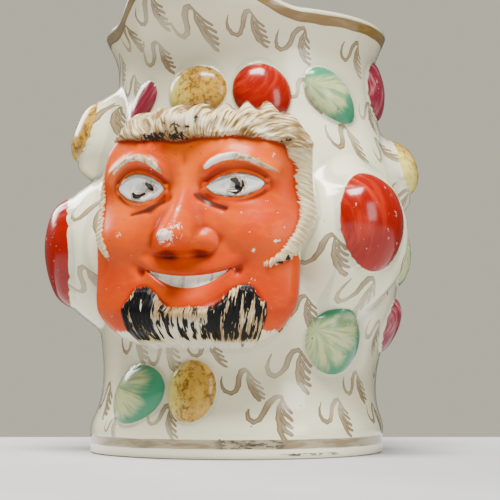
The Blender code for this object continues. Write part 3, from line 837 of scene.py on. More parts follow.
def build_jug(material):
    """The whole thrown and moulded body, outside and in, as one closed skin."""
    edges = column_turns()
    turns = edges[:-1]
    rows, depths = skin_rows(turns)
    count_rows, count = rows.shape[0], rows.shape[1]
    index = np.arange(count_rows * count).reshape(count_rows, count)
    right = np.roll(index, -1, axis=1)
    quads = np.stack((index[:-1], right[:-1], right[1:], index[1:]), axis=-1).reshape(-1, 4)
    faces = [tuple(quad) for quad in quads.tolist()]
    faces.append(tuple(reversed(index[0].tolist())))
    faces.append(tuple(index[-1].tolist()))
    mesh = bpy.data.meshes.new("jug")
    mesh.from_pydata(rows.reshape(-1, 3).tolist(), [], faces)

    heights = rows[..., 2] * 1000.0
    left_u = np.broadcast_to(np.radians(edges[:-1]) * WRAP_RADIUS, heights[:-1].shape)
    right_u = np.broadcast_to(np.radians(edges[1:]) * WRAP_RADIUS, heights[:-1].shape)
    right_v = np.roll(heights, -1, axis=1)
    corners = np.stack(
        (np.stack((left_u, heights[:-1]), -1), np.stack((right_u, right_v[:-1]), -1),
         np.stack((right_u, right_v[1:]), -1), np.stack((left_u, heights[1:]), -1)),
        axis=2,
    ).reshape(-1, 2)
    cap_corners = np.zeros((CAPS * count, 2))
    wrap = mesh.uv_layers.new(name="wrap")
    wrap.data.foreach_set("uv", np.concatenate((corners, cap_corners)).astype(np.float32).ravel())

    grid_turns = np.broadcast_to(turns, depths.shape)
    across, up = mask_places(grid_turns, rows[..., 2])
    outside = depths > -0.5
    maps = mask_maps(across, up)
    radius = np.hypot(rows[..., 0], rows[..., 1]) * 1000.0
    maps["hollow"] = blurred(radius, HOLLOW_PASSES) - radius
    maps["proud"] = radius - blurred(radius, PROUD_PASSES)
    for names, inside_value in ((SHARE_MAPS, 0.0), (EDGE_MAPS, FAR_OUTSIDE)):
        for name in names:
            maps[name] = np.where(outside, maps[name], inside_value)
    maps["rim_depth"] = depths
    add_maps(mesh, {name: flat_rows(values) for name, values in maps.items()})

    middle_turns = np.broadcast_to(0.5 * (edges[:-1] + edges[1:]), heights[:-1].shape)
    middle_heights = 0.5 * (heights[:-1] + heights[1:])
    sprigs = list(FRONT_SPRIGS) + hidden_sprigs()
    sprig_place, sprig_shape = nearest_sprigs(middle_turns, middle_heights, sprigs)
    fruit_place, fruit_shape, colours, kind = nearest_fruit(middle_turns, middle_heights)
    nearest = (sprig_place, sprig_shape, fruit_place, fruit_shape, colours[0], colours[1], kind)
    face_maps = {}
    for name, values in zip(FACE_MAPS, nearest):
        painted = flat_rows(values)
        face_maps[name] = np.concatenate((painted, np.full_like(painted[:CAPS], FAR_OUTSIDE)))
    add_maps(mesh, face_maps, "FACE")
    return finished_piece("jug", mesh, material)


def finished_piece(name, mesh, material):
    """Links the mesh as a piece of the jug that stands for the solid."""
    mesh.update()
    if material.name not in [slot.name for slot in mesh.materials if slot]:
        mesh.materials.clear()
        mesh.materials.append(material)
    mesh.shade_smooth()
    piece = bpy.data.objects.new(name, mesh)
    bpy.context.scene.collection.objects.link(piece)
    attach(piece, "root")
    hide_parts("pitcher")
    return piece


# The strap handle, swept by Geometry Nodes

HANDLE_RINGS = 72
HANDLE_SIDES = 28
HANDLE_SPRIG_GAP = 13.5
FAR_BELOW_RIM = 40.0
NOWHERE = -500.0
# Where the handle's gap starts and its middle height, in metres, and how far out a back face looks
GAP_START = 0.055
GAP_MIDDLE = 0.090
OUTWARD_LEAST = 0.002


def handle_curves():
    """The two Bezier arcs down the middle of the strap, as (y, z)."""
    top = HANDLE_TOP * RIM_HEIGHT
    low = HANDLE_LOW * RIM_HEIGHT
    wall_top = float(outer_radius(np.array([180.0]), np.array([top]), False)[0])
    wall_low = float(outer_radius(np.array([180.0]), np.array([low]), False)[0])
    start = Vector((wall_top - HANDLE_SINK, top))
    end = Vector((wall_low - HANDLE_SINK, low))
    bow = Vector((wall_top + HANDLE_REACH, top - 0.30 * (top - low)))
    upper = (start, start + Vector((0.45 * HANDLE_REACH, 0.10 * HANDLE_REACH)),
             bow + Vector((0.0, 0.62 * HANDLE_REACH)), bow)
    lower = (bow, bow - Vector((0.0, 0.80 * HANDLE_REACH)),
             end + Vector((0.40 * HANDLE_REACH, 0.14 * HANDLE_REACH)), end)
    return upper, lower


def handle_tree(material):
    """A node tree that sweeps an oval strap along two arcs and swells it where it is luted on."""
    tree = bpy.data.node_groups.new("swept strap", "GeometryNodeTree")
    sizes = (("Strap width", HANDLE_WIDTH), ("Strap thickness", HANDLE_THICKNESS),
             ("Root length", HANDLE_ROOT), ("Root flare", HANDLE_ROOT_FLARE))
    keys = {}
    for name, value in sizes:
        socket = tree.interface.new_socket(name=name, in_out="INPUT", socket_type="NodeSocketFloat")
        keys[socket.identifier] = value
    tree.interface.new_socket(name="Geometry", in_out="OUTPUT", socket_type="NodeSocketGeometry")
    base = Wire(tree)
    entry = tree.nodes.new("NodeGroupInput")
    width, thickness, root, root_flare = [Wire(tree, entry.outputs[i]) for i in range(len(sizes))]

    # One poly curve through both arcs: the points of each in turn, with the shared one kept once.
    half = HANDLE_RINGS // 2
    join = base.node("GeometryNodeJoinGeometry")
    for arc in reversed(handle_curves()):
        start, leave, arrive, end = [(0.0, point.x, point.y) for point in arc]
        bow = base.node("GeometryNodeCurvePrimitiveBezierSegment", {"mode": "POSITION"},
                        {"Start": start, "Start Handle": leave, "End Handle": arrive, "End": end,
                         "Resolution": half})
        even = base.node("GeometryNodeResampleCurve", {"mode": "COUNT"}, {"Curve": bow, "Count": half + 1})
        tree.links.new(even.socket, join.socket.node.inputs[0])
    points = base.node("GeometryNodeCurveToPoints", {"mode": "EVALUATED"}, {"Curve": join})
    apart = base.node("GeometryNodeMergeByDistance", {}, {"Geometry": points, "Distance": 0.00005})
    spine = base.node("GeometryNodePointsToCurves", {}, {"Points": apart})
    level = base.node("GeometryNodeSetCurveNormal", {"mode": "MINIMUM_TWIST"}, {"Curve": spine})

    run = base.node("GeometryNodeSplineParameter", output="Length")
    length = base.node("GeometryNodeSplineLength", output="Length")
    fall = least(run, length - run) / root
    swell = base.maths("EXPONENT", -(fall * fall))
    kept = base.node("GeometryNodeStoreNamedAttribute", {"data_type": "FLOAT", "domain": "POINT"},
                     {"Geometry": level, "Name": "along", "Value": run})
    circle = base.node("GeometryNodeCurvePrimitiveCircle", {"mode": "RADIUS"},
                       {"Resolution": HANDLE_SIDES, "Radius": 0.5})
    oval = base.node("GeometryNodeTransform", {},
                     {"Geometry": circle, "Scale": joined(base, width, thickness, 1.0)})
    flare = swell * root_flare + 1.0
    strap = base.node("GeometryNodeCurveToMesh", {},
                      {"Curve": kept, "Profile Curve": oval, "Scale": flare, "Fill Caps": True})
    real = base.node("GeometryNodeRealizeInstances", {}, {"Geometry": strap})
    painted = base.node("GeometryNodeSetMaterial", {}, {"Geometry": real, "Material": material})
    tree.links.new(painted.socket, tree.nodes.new("NodeGroupOutput").inputs[0])
    return tree, keys


def build_handle(material):
    """The strap as a plain mesh, made by its node tree."""
    tree, sizes = handle_tree(material)
    holder = bpy.data.objects.new("strap holder", bpy.data.meshes.new("strap holder"))
    bpy.context.scene.collection.objects.link(holder)
    sweep = holder.modifiers.new("sweep", "NODES")
    sweep.node_group = tree
    for key, value in sizes.items():
        sweep[key] = value
    graph = bpy.context.evaluated_depsgraph_get()
    mesh = bpy.data.meshes.new_from_object(holder.evaluated_get(graph))
    holder.modifiers.remove(sweep)
    bpy.data.objects.remove(holder, do_unlink=True)
    mesh.name = "handle"
    paint_maps_for_handle(mesh)
    return finished_piece("handle", mesh, material)


def read_all(items, field, width=1, kind=np.float32):
    """One field of every vertex, corner or face of a mesh."""
    values = np.empty(len(items) * width, kind)
    items.foreach_get(field, values)
    return values.reshape(-1, width) if width > 1 else values


def paint_maps_for_handle(mesh):
    """Unrolls the strap for painting, and lays a row of sprigs down its back."""
    points = read_all(mesh.vertices, "co", 3).astype(float)
    along = read_all(mesh.attributes["along"].data, "value") * 1000.0
    corner = read_all(mesh.loops, "vertex_index", kind=np.int32)
    across = points[:, 0] * 1000.0
    wrap = mesh.uv_layers.new(name="wrap")
    wrap.data.foreach_set("uv", np.stack((across[corner], along[corner]), -1).astype(np.float32).ravel())
    zero = np.zeros(len(points))
    maps = {name: zero for name in SHARE_MAPS} | {name: zero + FAR_OUTSIDE for name in EDGE_MAPS}
    add_maps(mesh, maps | {"rim_depth": zero + FAR_BELOW_RIM, "combing": np.zeros((len(points), 3))})

    count = len(mesh.polygons)
    centres, normals = read_all(mesh.polygons, "center", 3), read_all(mesh.polygons, "normal", 3)
    first_corner = read_all(mesh.polygons, "loop_start", kind=np.int32)
    slot = np.floor(along[corner[first_corner]] / HANDLE_SPRIG_GAP)
    middle = np.array([0.0, 0.5 * (centres[:, 1].min() + GAP_START), GAP_MIDDLE])
    outward = np.einsum("ij,ij->i", normals, centres - middle) > OUTWARD_LEAST
    sprig_place = np.stack((np.zeros(count), (slot + 0.5) * HANDLE_SPRIG_GAP, np.ones(count)), -1)
    sprig_place[~outward, 1] = NOWHERE
    black = (0.0, 0.0, 0.0, 1.0)
    same = ((0.62, 0.0, 1.0), (0.0, NOWHERE, 1.0), (5.0, 5.0, 0.0), black, black)
    tiled = [np.tile(values, (count, 1)) for values in same]
    add_maps(mesh, dict(zip(FACE_MAPS, (sprig_place, *tiled, np.zeros(count)))), "FACE")


# Glazes, enamels and lustre


class Wire:
    """A socket of a material's node tree, so that the maths of a finish reads as maths."""

    def __init__(self, tree, socket=None):
        self.tree = tree
        self.socket = socket

    def node(self, kind, settings=None, values=None, output=0):
        """Adds any node: its settings first, then the values or links of its sockets."""
        made = self.tree.nodes.new(kind)
        for name, setting in (settings or {}).items():
            setattr(made, name, setting)
        for name, value in (values or {}).items():
            if isinstance(value, Wire):
                self.tree.links.new(value.socket, made.inputs[name])
            else:
                made.inputs[name].default_value = value
        return Wire(self.tree, made.outputs[output])

    def maths(self, operation, *values, clamp=False):
        settings = {"operation": operation, "use_clamp": clamp}
        return self.node("ShaderNodeMath", settings, dict(enumerate(values)))

    def __add__(self, other):
        return self.maths("ADD", self, other)

    def __sub__(self, other):
        return self.maths("SUBTRACT", self, other)

    def __mul__(self, other):
        return self.maths("MULTIPLY", self, other)

    def __truediv__(self, other):
        return self.maths("DIVIDE", self, other)

    def __rsub__(self, other):
        return self.maths("SUBTRACT", other, self)

    def __neg__(self):
        return self.maths("MULTIPLY", self, -1.0)

    __radd__ = __add__
    __rmul__ = __mul__


def least(first, second):
    return first.maths("MINIMUM", first, second)


def most(first, second):
    return first.maths("MAXIMUM", first, second)


def size_of(value):
    return value.maths("ABSOLUTE", value)


def rising(value, low, high):
    """0 below low, 1 above high, smooth between."""
    return value.node("ShaderNodeMapRange", {"interpolation_type": "SMOOTHSTEP"},
                      {"Value": value, "From Min": low, "From Max": high})


def falling(value, low, high):
    """1 below low, 0 above high, smooth between."""
    return rising(-value, -high, -low)


def near(value, inner, outer):
    """1 within inner of 0, 0 past outer."""
    return falling(size_of(value), inner, outer)


def mixed(share, first, second):
    """The first colour where share is 0, the second where it is 1; three numbers are a screen colour."""
    first, second = [from_screen(*paint) if isinstance(paint, tuple) else paint for paint in (first, second)]
    return share.node("ShaderNodeMix", {"data_type": "RGBA"}, {0: share, 6: first, 7: second}, output=2)


def coated(colour, *coats):
    """The colour under coats laid on in order, each the share that it covers and its paint."""
    for share, paint in coats:
        colour = mixed(share, colour, paint)
    return colour


def painted_map(at, name, output=2):
    """An attribute of the mesh: its number, or its vector as output 1, or its colour as output 0."""
    return at.base.node("ShaderNodeAttribute", {"attribute_name": name}, output=output)


def parts(vector):
    """The three numbers of a vector or a colour."""
    kind = "ShaderNodeSeparateColor" if vector.socket.type == "RGBA" else "ShaderNodeSeparateXYZ"
    split = vector.tree.nodes.new(kind)
    vector.tree.links.new(vector.socket, split.inputs[0])
    return [Wire(vector.tree, split.outputs[i]) for i in range(3)]


def joined(base, x, y, z=0.0):
    return base.node("ShaderNodeCombineXYZ", {}, {"X": x, "Y": y, "Z": z})


def vector_maths(base, operation, values, output=0):
    return base.node("ShaderNodeVectorMath", {"operation": operation}, values, output)


def cloud(place, scale, detail=2.0, roughness=0.5):
    """Noise between 0 and 1 over a place in mm; scale is features a mm."""
    return place.node("ShaderNodeTexNoise", {"noise_dimensions": "3D"},
                      {"Vector": place, "Scale": scale, "Detail": detail, "Roughness": roughness})


def scattered(place, scale):
    """Distance from the nearest of scattered points, and two chances that go with that point."""
    values = {"Vector": place, "Scale": scale, "Randomness": 1.0}
    gap, tint = [place.node("ShaderNodeTexVoronoi", {"feature": "F1"}, values, output) for output in (0, 1)]
    first, second, _ = parts(tint)
    return gap, first, second


def stretched(place, across, along, shift=0.0):
    """The place with its two directions scaled apart, for brush marks."""
    x, y, _ = parts(place)
    return joined(place, x * across, y * along, shift)


def turned_about(x, y, lean):
    """The two directions turned back by a lean in radians."""
    cosine, sine = lean.maths("COSINE", lean), lean.maths("SINE", lean)
    return x * cosine + y * sine, y * cosine - x * sine


def stroke_distance(spot, start, end):
    """Distance from one tapering brush stroke, negative inside; start and end are (x, y, half width)."""
    run = (end[0] - start[0], end[1] - start[1])
    square = run[0] ** 2 + run[1] ** 2
    offset = vector_maths(spot, "SUBTRACT", {0: spot, 1: (start[0], start[1], 0.0)})
    slope = (run[0] / square, run[1] / square, 0.0)
    along = vector_maths(spot, "DOT_PRODUCT", {0: offset, 1: slope}, output=1)
    share = along.maths("ADD", along, 0.0, clamp=True)
    onto = vector_maths(spot, "SCALE", {0: (run[0], run[1], 0.0), "Scale": share})
    gap = vector_maths(spot, "DISTANCE", {0: offset, 1: onto}, output=1)
    return gap - (share * (end[2] - start[2]) + start[2])


def sprig_distance(at):
    """Distance from the nearest lustre sprig, in mm, negative on its strokes."""
    middle_u, middle_v, stretch = parts(painted_map(at, "sprig_place", 1))
    size, lean, seed = parts(painted_map(at, "sprig_shape", 1))
    slip = cloud(joined(at.base, at.u, at.v, seed), 0.13, 1.0)
    slip_too = cloud(joined(at.base, at.v, at.u, seed + 9.0), 0.13, 1.0)
    x = (at.u - middle_u) * stretch + (slip - 0.5) * 2.0
    y = (at.v - middle_v) + (slip_too - 0.5) * 1.8
    side, rise = turned_about(x, y, lean)
    side, rise = side / size + SPRIG_MIDDLE[0], rise / size + SPRIG_MIDDLE[1]
    side = side + rise * seed.maths("SINE", seed * 5.0) * SPRIG_SWAY
    spot = joined(at.base, side, rise)
    nearest = None
    for stroke in (STEM_STROKE,) + LEAF_STROKES:
        for start, end in zip(stroke, stroke[1:]):
            gap = stroke_distance(spot, start, end)
            nearest = gap if nearest is None else nearest.maths("SMOOTH_MIN", nearest, gap, STROKE_BLEND)
    return nearest - STROKE_SPREAD


def measured(base):
    """What every paint reads: the wrap and the solid in mm, the depth from the rim, hollows and noise."""
    at = SimpleNamespace(base=base)
    at.wrap = base.node("ShaderNodeUVMap", {"uv_map": "wrap"})
    at.u, at.v, _ = parts(at.wrap)
    metres = base.node("ShaderNodeTexCoord", {}, output=3)
    at.solid = vector_maths(base, "SCALE", {0: metres, "Scale": 1000.0})
    at.rim_depth = painted_map(at, "rim_depth")
    at.hollow = painted_map(at, "hollow")
    at.outside = rising(at.rim_depth, -1.2, -0.4)
    at.middling = cloud(at.solid, 0.16, 3.0)
    at.grain = cloud(at.solid, 0.9, 3.0)
    at.wobble = (cloud(at.solid, 0.55, 2.0) - 0.5) * 0.7
    return at


def measure_mask(at):
    """Adds what the mask's paints read: shares of its size, combed strands, their tips and brushwork."""
    at.combed = painted_map(at, "combing", 1)
    at.strand = cloud(stretched(at.combed, 1.9, 0.16, 5.0), 1.0, 2.0)
    at.tip = cloud(stretched(at.combed, 1.25, 0.10, 11.0), 1.0, 2.0)
    at.across = at.u * ((MASK_RADIUS - WALL) / MASK_SIZE / WRAP_RADIUS)
    at.up = (at.v - CHIN * RIM_HEIGHT * 1000.0) / (MASK_SIZE * 1000.0)
    at.brushed = cloud(stretched(at.wrap, 0.26, 0.42, 1.0), 1.0, 3.0)


def glaze(at):
    """Cream glaze, bluer where it pools, with painted shade in hollows, at the neck and just above the foot.
    """
    broad = cloud(at.solid, 0.035, 2.0)
    # Painted shade: the glaze is darker at the neck and in a band just above the foot.
    painted_shade_bands = most(rising(at.v, 104.0, 132.0) * 0.55, near(at.v - 30.0, 4.0, 16.0) * 0.6)
    return coated(
        mixed(rising(broad, 0.35, 0.65), (236, 230, 196), (230, 226, 194)),
        # Bluer where the glaze pools in hollows, and darker there as painted shade.
        (rising(at.hollow, 0.04, 0.35) * 0.6, (190, 192, 168)),
        (rising(at.middling, 0.55, 0.75) * 0.35, (234, 226, 200)),
        (painted_shade_bands, (200, 194, 164)),
    )


def lustre_sprigs(at, colour):
    """Thin brown lustre, paler in the heart of each stroke; also how much a sprig covers."""
    sprig = sprig_distance(at)
    on_sprig = falling(sprig + (at.grain - 0.5) * 0.16, -0.12, 0.05)
    streaks = cloud(stretched(at.wrap, 1.3, 0.35), 1.0, 2.0)
    lustre = mixed(falling(sprig, -0.60, -0.10), (104, 84, 56), (146, 128, 98))
    lustre = mixed(rising(streaks, 0.40, 0.75) * 0.6, lustre, (132, 112, 82))
    thin = 0.60 + rising(cloud(at.solid, 0.05, 1.0), 0.40, 0.56) * 0.36
    return mixed(on_sprig * thin * at.outside, colour, lustre), on_sprig


def bands(at, colour):
    """The golden band under the rim, and at the foot a taupe one with bare glaze and a scratch below."""
    slip = (cloud(joined(at.base, at.u * 0.08, 0.0, 4.0), 1.0, 1.0) - 0.5) * 1.6
    mottle = cloud(joined(at.base, at.u * 0.10, at.v * 0.5, 2.0), 1.0, 3.0)
    rim_band = rising(at.rim_depth + slip * 0.4, 0.25, 0.50) * falling(at.rim_depth + slip, 3.25, 3.55)
    golden = coated(
        mixed(rising(at.u, -35.0, 20.0), (128, 112, 88), (124, 96, 46)),
        (rising(mottle, 0.45, 0.70) * 0.5, (152, 130, 90)),
        (rising(at.rim_depth + slip, 2.5, 3.3) * 0.7, (112, 86, 44)),
    )
    foot_band = rising(at.v + slip * 0.5, 3.0, 3.35) * falling(at.v + slip * 0.35, 5.9, 6.2)
    smudge = cloud(stretched(at.wrap, 0.30, 1.2, 3.0), 1.0, 4.0, 0.7)
    black_run = rising(at.u, 8.0, 14.0) * falling(at.u, 30.0, 36.0) * rising(smudge, 0.47, 0.56)
    taupe = mixed(rising(mottle, 0.40, 0.62), (160, 148, 120), (130, 114, 82))
    taupe = mixed(black_run * 0.9, taupe, (44, 38, 34))
    below_band = falling(at.v, 2.6, 3.2)
    scratch = falling(most(at.v - 1.75, 1.15 - at.v), -0.10, 0.25) * rising(smudge, 0.42, 0.52)
    scratch = scratch * rising(at.u, 30.0, 36.0) * falling(at.u, 50.0, 56.0)
    colour = coated(
        colour, (rim_band, golden), (foot_band * at.outside, taupe),
        (below_band * 0.55 * at.outside, (238, 232, 214)), (scratch, (70, 60, 48)),
    )
    return colour, below_band


def fruit_enamels(at, colour):
    """Streaked, ribbed or mottled fruit; also how much fruit covers, and its brushwork."""
    fruit_u, fruit_v, stretch = parts(painted_map(at, "fruit_place", 1))
    half_width, half_length, lean = parts(painted_map(at, "fruit_shape", 1))
    deep, bright = painted_map(at, "fruit_first", 0), painted_map(at, "fruit_second", 0)
    kind = painted_map(at, "fruit_kind")
    x, y = (at.u - fruit_u) * stretch, at.v - fruit_v
    side, rise = turned_about(x, y, lean)
    side, rise = side / half_width, rise / half_length
    reach = vector_maths(at.base, "LENGTH", {0: joined(at.base, side, rise)}, output=1)
    edge = (0.985 - reach) * least(half_width, half_length) + at.wobble * 0.25
    on_fruit = rising(edge, -0.10, 0.14) * falling(painted_map(at, "face"), -0.2, 0.6) * at.outside
    on_fruit = on_fruit * falling(painted_map(at, "hair"), 0.0, 0.6)

    brush = cloud(joined(at.base, side * 5.5 + rise * rise * 1.6, rise * 1.1, kind + fruit_v), 1.0, 3.0, 0.6)
    # Painted highlight: the bright streaks show only towards the upper left of each streaked fruit.
    painted_highlight_side = rising(side * -0.8 + rise * 0.5, -0.7, 0.8)
    streaked = mixed(rising(brush, 0.42, 0.66) * painted_highlight_side, deep, bright)

    spread = joined(at.base, x / half_width, y / half_length)
    stem = vector_maths(at.base, "SUBTRACT", {0: spread, 1: FRUIT_STEM})
    stem_x, stem_y, _ = parts(stem)
    bearing = at.base.maths("ARCTAN2", stem_y, stem_x)
    from_stem = vector_maths(at.base, "LENGTH", {0: stem}, output=1)
    rib = cloud(joined(at.base, bearing * 4.2, from_stem * 0.8, fruit_v), 1.0, 3.0, 0.6)
    pale = rising(-most(from_stem - 0.92, 0.10 - from_stem) + (rib - 0.5) * 0.9, -0.56, -0.10)
    pale = pale * rising(-stem_y + stem_x * 0.25, -0.46, -0.10)
    shadow = cloud(joined(at.base, bearing * 7.0, from_stem * 1.2, fruit_v + 5.0), 1.0, 2.0)
    ribbed = mixed((rising(rib, 0.38, 0.56) * 0.55 + 0.45) * pale, deep, bright)
    ribbed = mixed(rising(shadow, 0.54, 0.66) * pale * 0.55, ribbed, (112, 132, 84))

    pits = cloud(at.solid, 0.55, 5.0, 0.68)
    # Painted shade: each mottled fruit darkens towards its right side, and its brown pits and pale flecks
    # lie there.
    painted_shade_side = rising(side * 0.8 + rise * 0.1 + (pits - 0.5) * 1.2, -0.75, 0.10)
    mottled = coated(
        mixed(painted_shade_side, bright, deep),
        (rising(pits, 0.47, 0.60) * painted_shade_side * 0.85, (112, 76, 22)),
        (rising(cloud(at.solid, 0.23, 3.0), 0.54, 0.66) * painted_shade_side * 0.6, (208, 168, 72)),
    )
    rubbed = rising(cloud(at.solid, 0.42, 5.0, 0.75), 0.635, 0.670)
    rubbed = rubbed * rising(painted_map(at, "proud"), 0.4, 1.6)
    paint = coated(
        streaked, (rising(kind, 1.2, 1.4), ribbed), (rising(kind, 2.2, 2.4), mottled),
        (rubbed * 0.62, (232, 206, 180)),
    )
    return mixed(on_fruit, colour, paint), on_fruit, brush


def face_enamel(at, colour):
    """Orange enamel, darker red as painted shade at the sides, low on the face and in hollows, with dark
    pinpricks; also how much it covers.
    """
    edge = painted_map(at, "face") + at.wobble * 0.9 + (at.tip - 0.5) * 3.2 * falling(at.up, 0.08, 0.14)
    on_face = rising(edge, -0.05, 0.25) * at.outside
    # Painted shade: the enamel darkens towards the sides of the mask and over its lower half.
    painted_limb_shade = most(rising(size_of(at.across), 0.30, 0.46), falling(at.up, 0.34, 0.66) * 0.75)
    # Less painted shade in the hollow under the nose, at its septum.
    septum = near(at.across - 0.012, 0.015, 0.060) * falling(at.up, 0.44, 0.46)
    pinpricks, chance, size = scattered(at.solid, 0.62)
    prick = rising(0.09 + size * 0.08 - pinpricks, 0.0, 0.03) * rising(chance, 0.80, 0.84)
    creased = rising(painted_map(at, "creased") + at.wobble * 0.3, -0.60, -0.05)
    orange = coated(
        mixed(rising(cloud(at.solid, 0.075, 3.0), 0.36, 0.64), (226, 92, 6), (206, 62, 0)),
        (rising(at.brushed, 0.46, 0.74) * 0.40, (232, 110, 16)),
        (painted_limb_shade * 0.75, (178, 46, 0)),
        # Painted shade in hollows, deepest in the deepest ones.
        (rising(at.hollow, 0.02, 0.30) * (0.75 - septum * 0.55), (130, 22, 0)),
        (rising(at.hollow, 0.25, 0.60) * (0.6 - septum * 0.5), (96, 24, 6)),
        (prick * 0.75, (128, 40, 14)),
        (creased * 0.9, (84, 38, 30)),
    )
    return mixed(on_face, colour, orange), on_face


def fur_and_hair(at, colour):
    """Pale fur down the mask's sides, then the fringe of hair; also how much either covers."""
    fur, hair = painted_map(at, "fur"), painted_map(at, "hair")
    on_fur = rising(fur + (at.tip - 0.5) * 3.0 + (at.strand - 0.5) * 2.4, -0.10, 0.18) * at.outside
    fringe = rising(at.strand + rising(at.across, 0.48, 0.50) * 0.09, 0.60, 0.72) * falling(fur, -0.9, 0.9)
    pelt = mixed(rising(at.strand, 0.40, 0.60), (222, 206, 166), (190, 168, 124))
    pelt = mixed(fringe * 0.8, pelt, (112, 90, 56))
    on_hair = rising(hair + (at.tip - 0.5) * 1.6 + (at.strand - 0.5) * 1.2, -0.10, 0.20) * at.outside
    browned = rising(at.across, 0.28, 0.44) * rising(at.strand, 0.34, 0.52) * 0.85
    browned = most(browned, rising(painted_map(at, "sooty"), 0.02, 0.45) * 0.7)
    browned = most(browned, falling(at.across, -0.16, 0.06) * rising(at.strand, 0.30, 0.56) * 0.5)
    lock = coated(
        mixed(rising(at.strand, 0.38, 0.60), (228, 210, 164), (172, 142, 90)),
        (rising(at.strand, 0.50, 0.61) * 0.9, (104, 76, 38)),
        # Painted shade: the locks are darker brown in the hollows between them.
        (rising(at.hollow, 0.03, 0.28) * 0.7, (108, 82, 44)),
        (rising(cloud(at.solid, 0.13, 3.0), 0.50, 0.66) * 0.55, (232, 222, 194)),
        (browned, (140, 112, 70)),
    )
    return coated(colour, (on_fur, pelt), (on_hair, lock)), most(on_hair, on_fur)


def brows(at, colour):
    """Cream brows, stained brown at their edges and right end, and white on the right one's inner half."""
    brow = painted_map(at, "brow")
    on_brow = rising(brow + at.wobble * 0.5, -0.12, 0.10) * at.outside
    paint = coated(
        mixed(rising(cloud(at.solid, 0.6, 4.0, 0.7), 0.44, 0.60), (224, 212, 182), (164, 138, 98)),
        (near(at.across - 0.135, 0.045, 0.085), (238, 234, 222)),
        (rising(at.across, 0.25, 0.36) * 0.7, (168, 120, 72)),
        (falling(brow, -0.10, 0.35) * 0.6, (150, 116, 76)),
    )
    return mixed(on_brow, colour, paint)


def eyes(at, colour):
    """White eyes, greyer in hollows and under the upper lid as painted shade, with a brown rim, stained
    irises and black pupils; also how much they cover.
    """
    eye, pupil = painted_map(at, "eye"), painted_map(at, "pupil")
    on_eye = rising(eye + at.wobble * 0.2, -0.08, 0.10) * at.outside
    # Painted shadow: a grey line just inside the upper lid.
    painted_lid_shadow = near(eye - 0.95 + at.wobble * 0.3, 0.12, 0.50) * rising(at.up, 0.660, 0.672)
    white = coated(
        # Painted shade: the whites are greyer in hollows.
        mixed(rising(at.hollow, 0.0, 0.25), (236, 236, 230), (190, 198, 192)),
        (falling(eye, 0.0, 0.45) * rising(at.grain, 0.50, 0.62) * 0.7, (150, 120, 84)),
        (painted_lid_shadow * 0.8, (142, 150, 140)),
    )
    rimmed = near(eye + 0.08 + at.wobble * 0.5, 0.22, 0.55) * at.outside * rising(at.middling, 0.38, 0.52)
    stain = rising(pupil + 1.1 + at.wobble * 1.6, 0.0, 0.7) * rising(at.grain, 0.42, 0.56)
    colour = coated(
        colour, (on_eye, white), (rimmed * 0.8, (104, 58, 24)), (on_eye * stain * 0.85, (158, 108, 44)),
        (on_eye * rising(pupil + at.wobble * 0.5, -0.05, 0.08), (28, 24, 22)),
    )
    return colour, on_eye


def grin(at, colour):
    """White teeth, greyer in hollows as painted shade, with grey lines between them."""
    on_teeth = rising(painted_map(at, "teeth") + at.wobble * 0.2, -0.02, 0.16) * at.outside
    uneven = cloud(joined(at.base, at.u * 0.3, 0.0), 1.0) * 2.6
    gap = rising(at.base.maths("SINE", at.u * 0.84 + uneven), 0.90, 0.985)
    # Painted shade: the teeth are greyer in hollows.
    enamel = mixed(rising(at.hollow, 0.05, 0.28), (246, 244, 234), (226, 222, 204))
    return mixed(on_teeth, colour, mixed(gap * 0.55, enamel, (150, 146, 126)))


def whiskers(at, colour):
    """A black beard dabbed on in strokes, mostly bare in its middle; also its cover and its dabs."""
    on_beard = rising(painted_map(at, "beard") + (at.tip - 0.5) * 3.0, -0.05, 0.20) * at.outside
    clear_middle = near(at.across - 0.015, 0.085, 0.125)
    upper_middle = clear_middle * rising(at.up, 0.085, 0.125)
    right_patch = rising(at.across, 0.14, 0.19) * 0.06
    dabs = cloud(stretched(at.combed, 0.62, 0.12, 20.0), 1.0, 3.0, 0.6)
    threshold = 0.385 + clear_middle * 0.105 + upper_middle * 0.09 + right_patch
    threshold = threshold + falling(at.up, 0.010, 0.035) * 0.22
    dabbed = rising(dabs - threshold, -0.012, 0.022)
    lower_strands = clear_middle * (1.0 - upper_middle) * rising(at.strand, 0.40, 0.52)
    whisker = coated(
        mixed(rising(at.strand, 0.38, 0.58), (214, 196, 158), (142, 112, 68)),
        (upper_middle * 0.6, (148, 116, 68)),
        (lower_strands * 0.7, (234, 228, 210)),
        (dabbed, (10, 10, 11)),
        (falling(at.up, 0.006, 0.022) * (1.0 - dabbed) * 0.8, (228, 224, 208)),
    )
    return mixed(on_beard, colour, whisker), on_beard, dabbed


def wear(at, colour, on_face):
    """Black flecks, chips and scuffs down to the glaze, and specks in it; also how much is rubbed bare."""
    soot = cloud(stretched(at.combed, 1.5, 0.8, 31.0), 1.0, 4.0, 0.7)
    flecks = rising(painted_map(at, "sooty") + (soot - 0.5) * 1.9, 0.50, 0.57) * at.outside
    bitten = cloud(at.solid, 0.75, 5.0, 0.75)
    chips = rising(painted_map(at, "worn") + (bitten - 0.5) * 1.7, 0.50, 0.60) * at.outside
    scuffs = rising(cloud(at.solid, 0.30, 5.0, 0.8), 0.665, 0.690) * on_face
    bare = most(chips, scuffs * 0.6)
    cells, chance, size = scattered(at.solid, 0.20)
    speck = rising(0.030 + size * 0.045 - cells, 0.0, 0.012) * rising(chance, 0.40, 0.44)
    colour = coated(
        colour, (flecks, (36, 32, 28)), (bare * 0.9, (232, 222, 208)),
        (speck * at.outside * (1.0 - on_face * 0.5), (74, 66, 54)),
    )
    return colour, bare


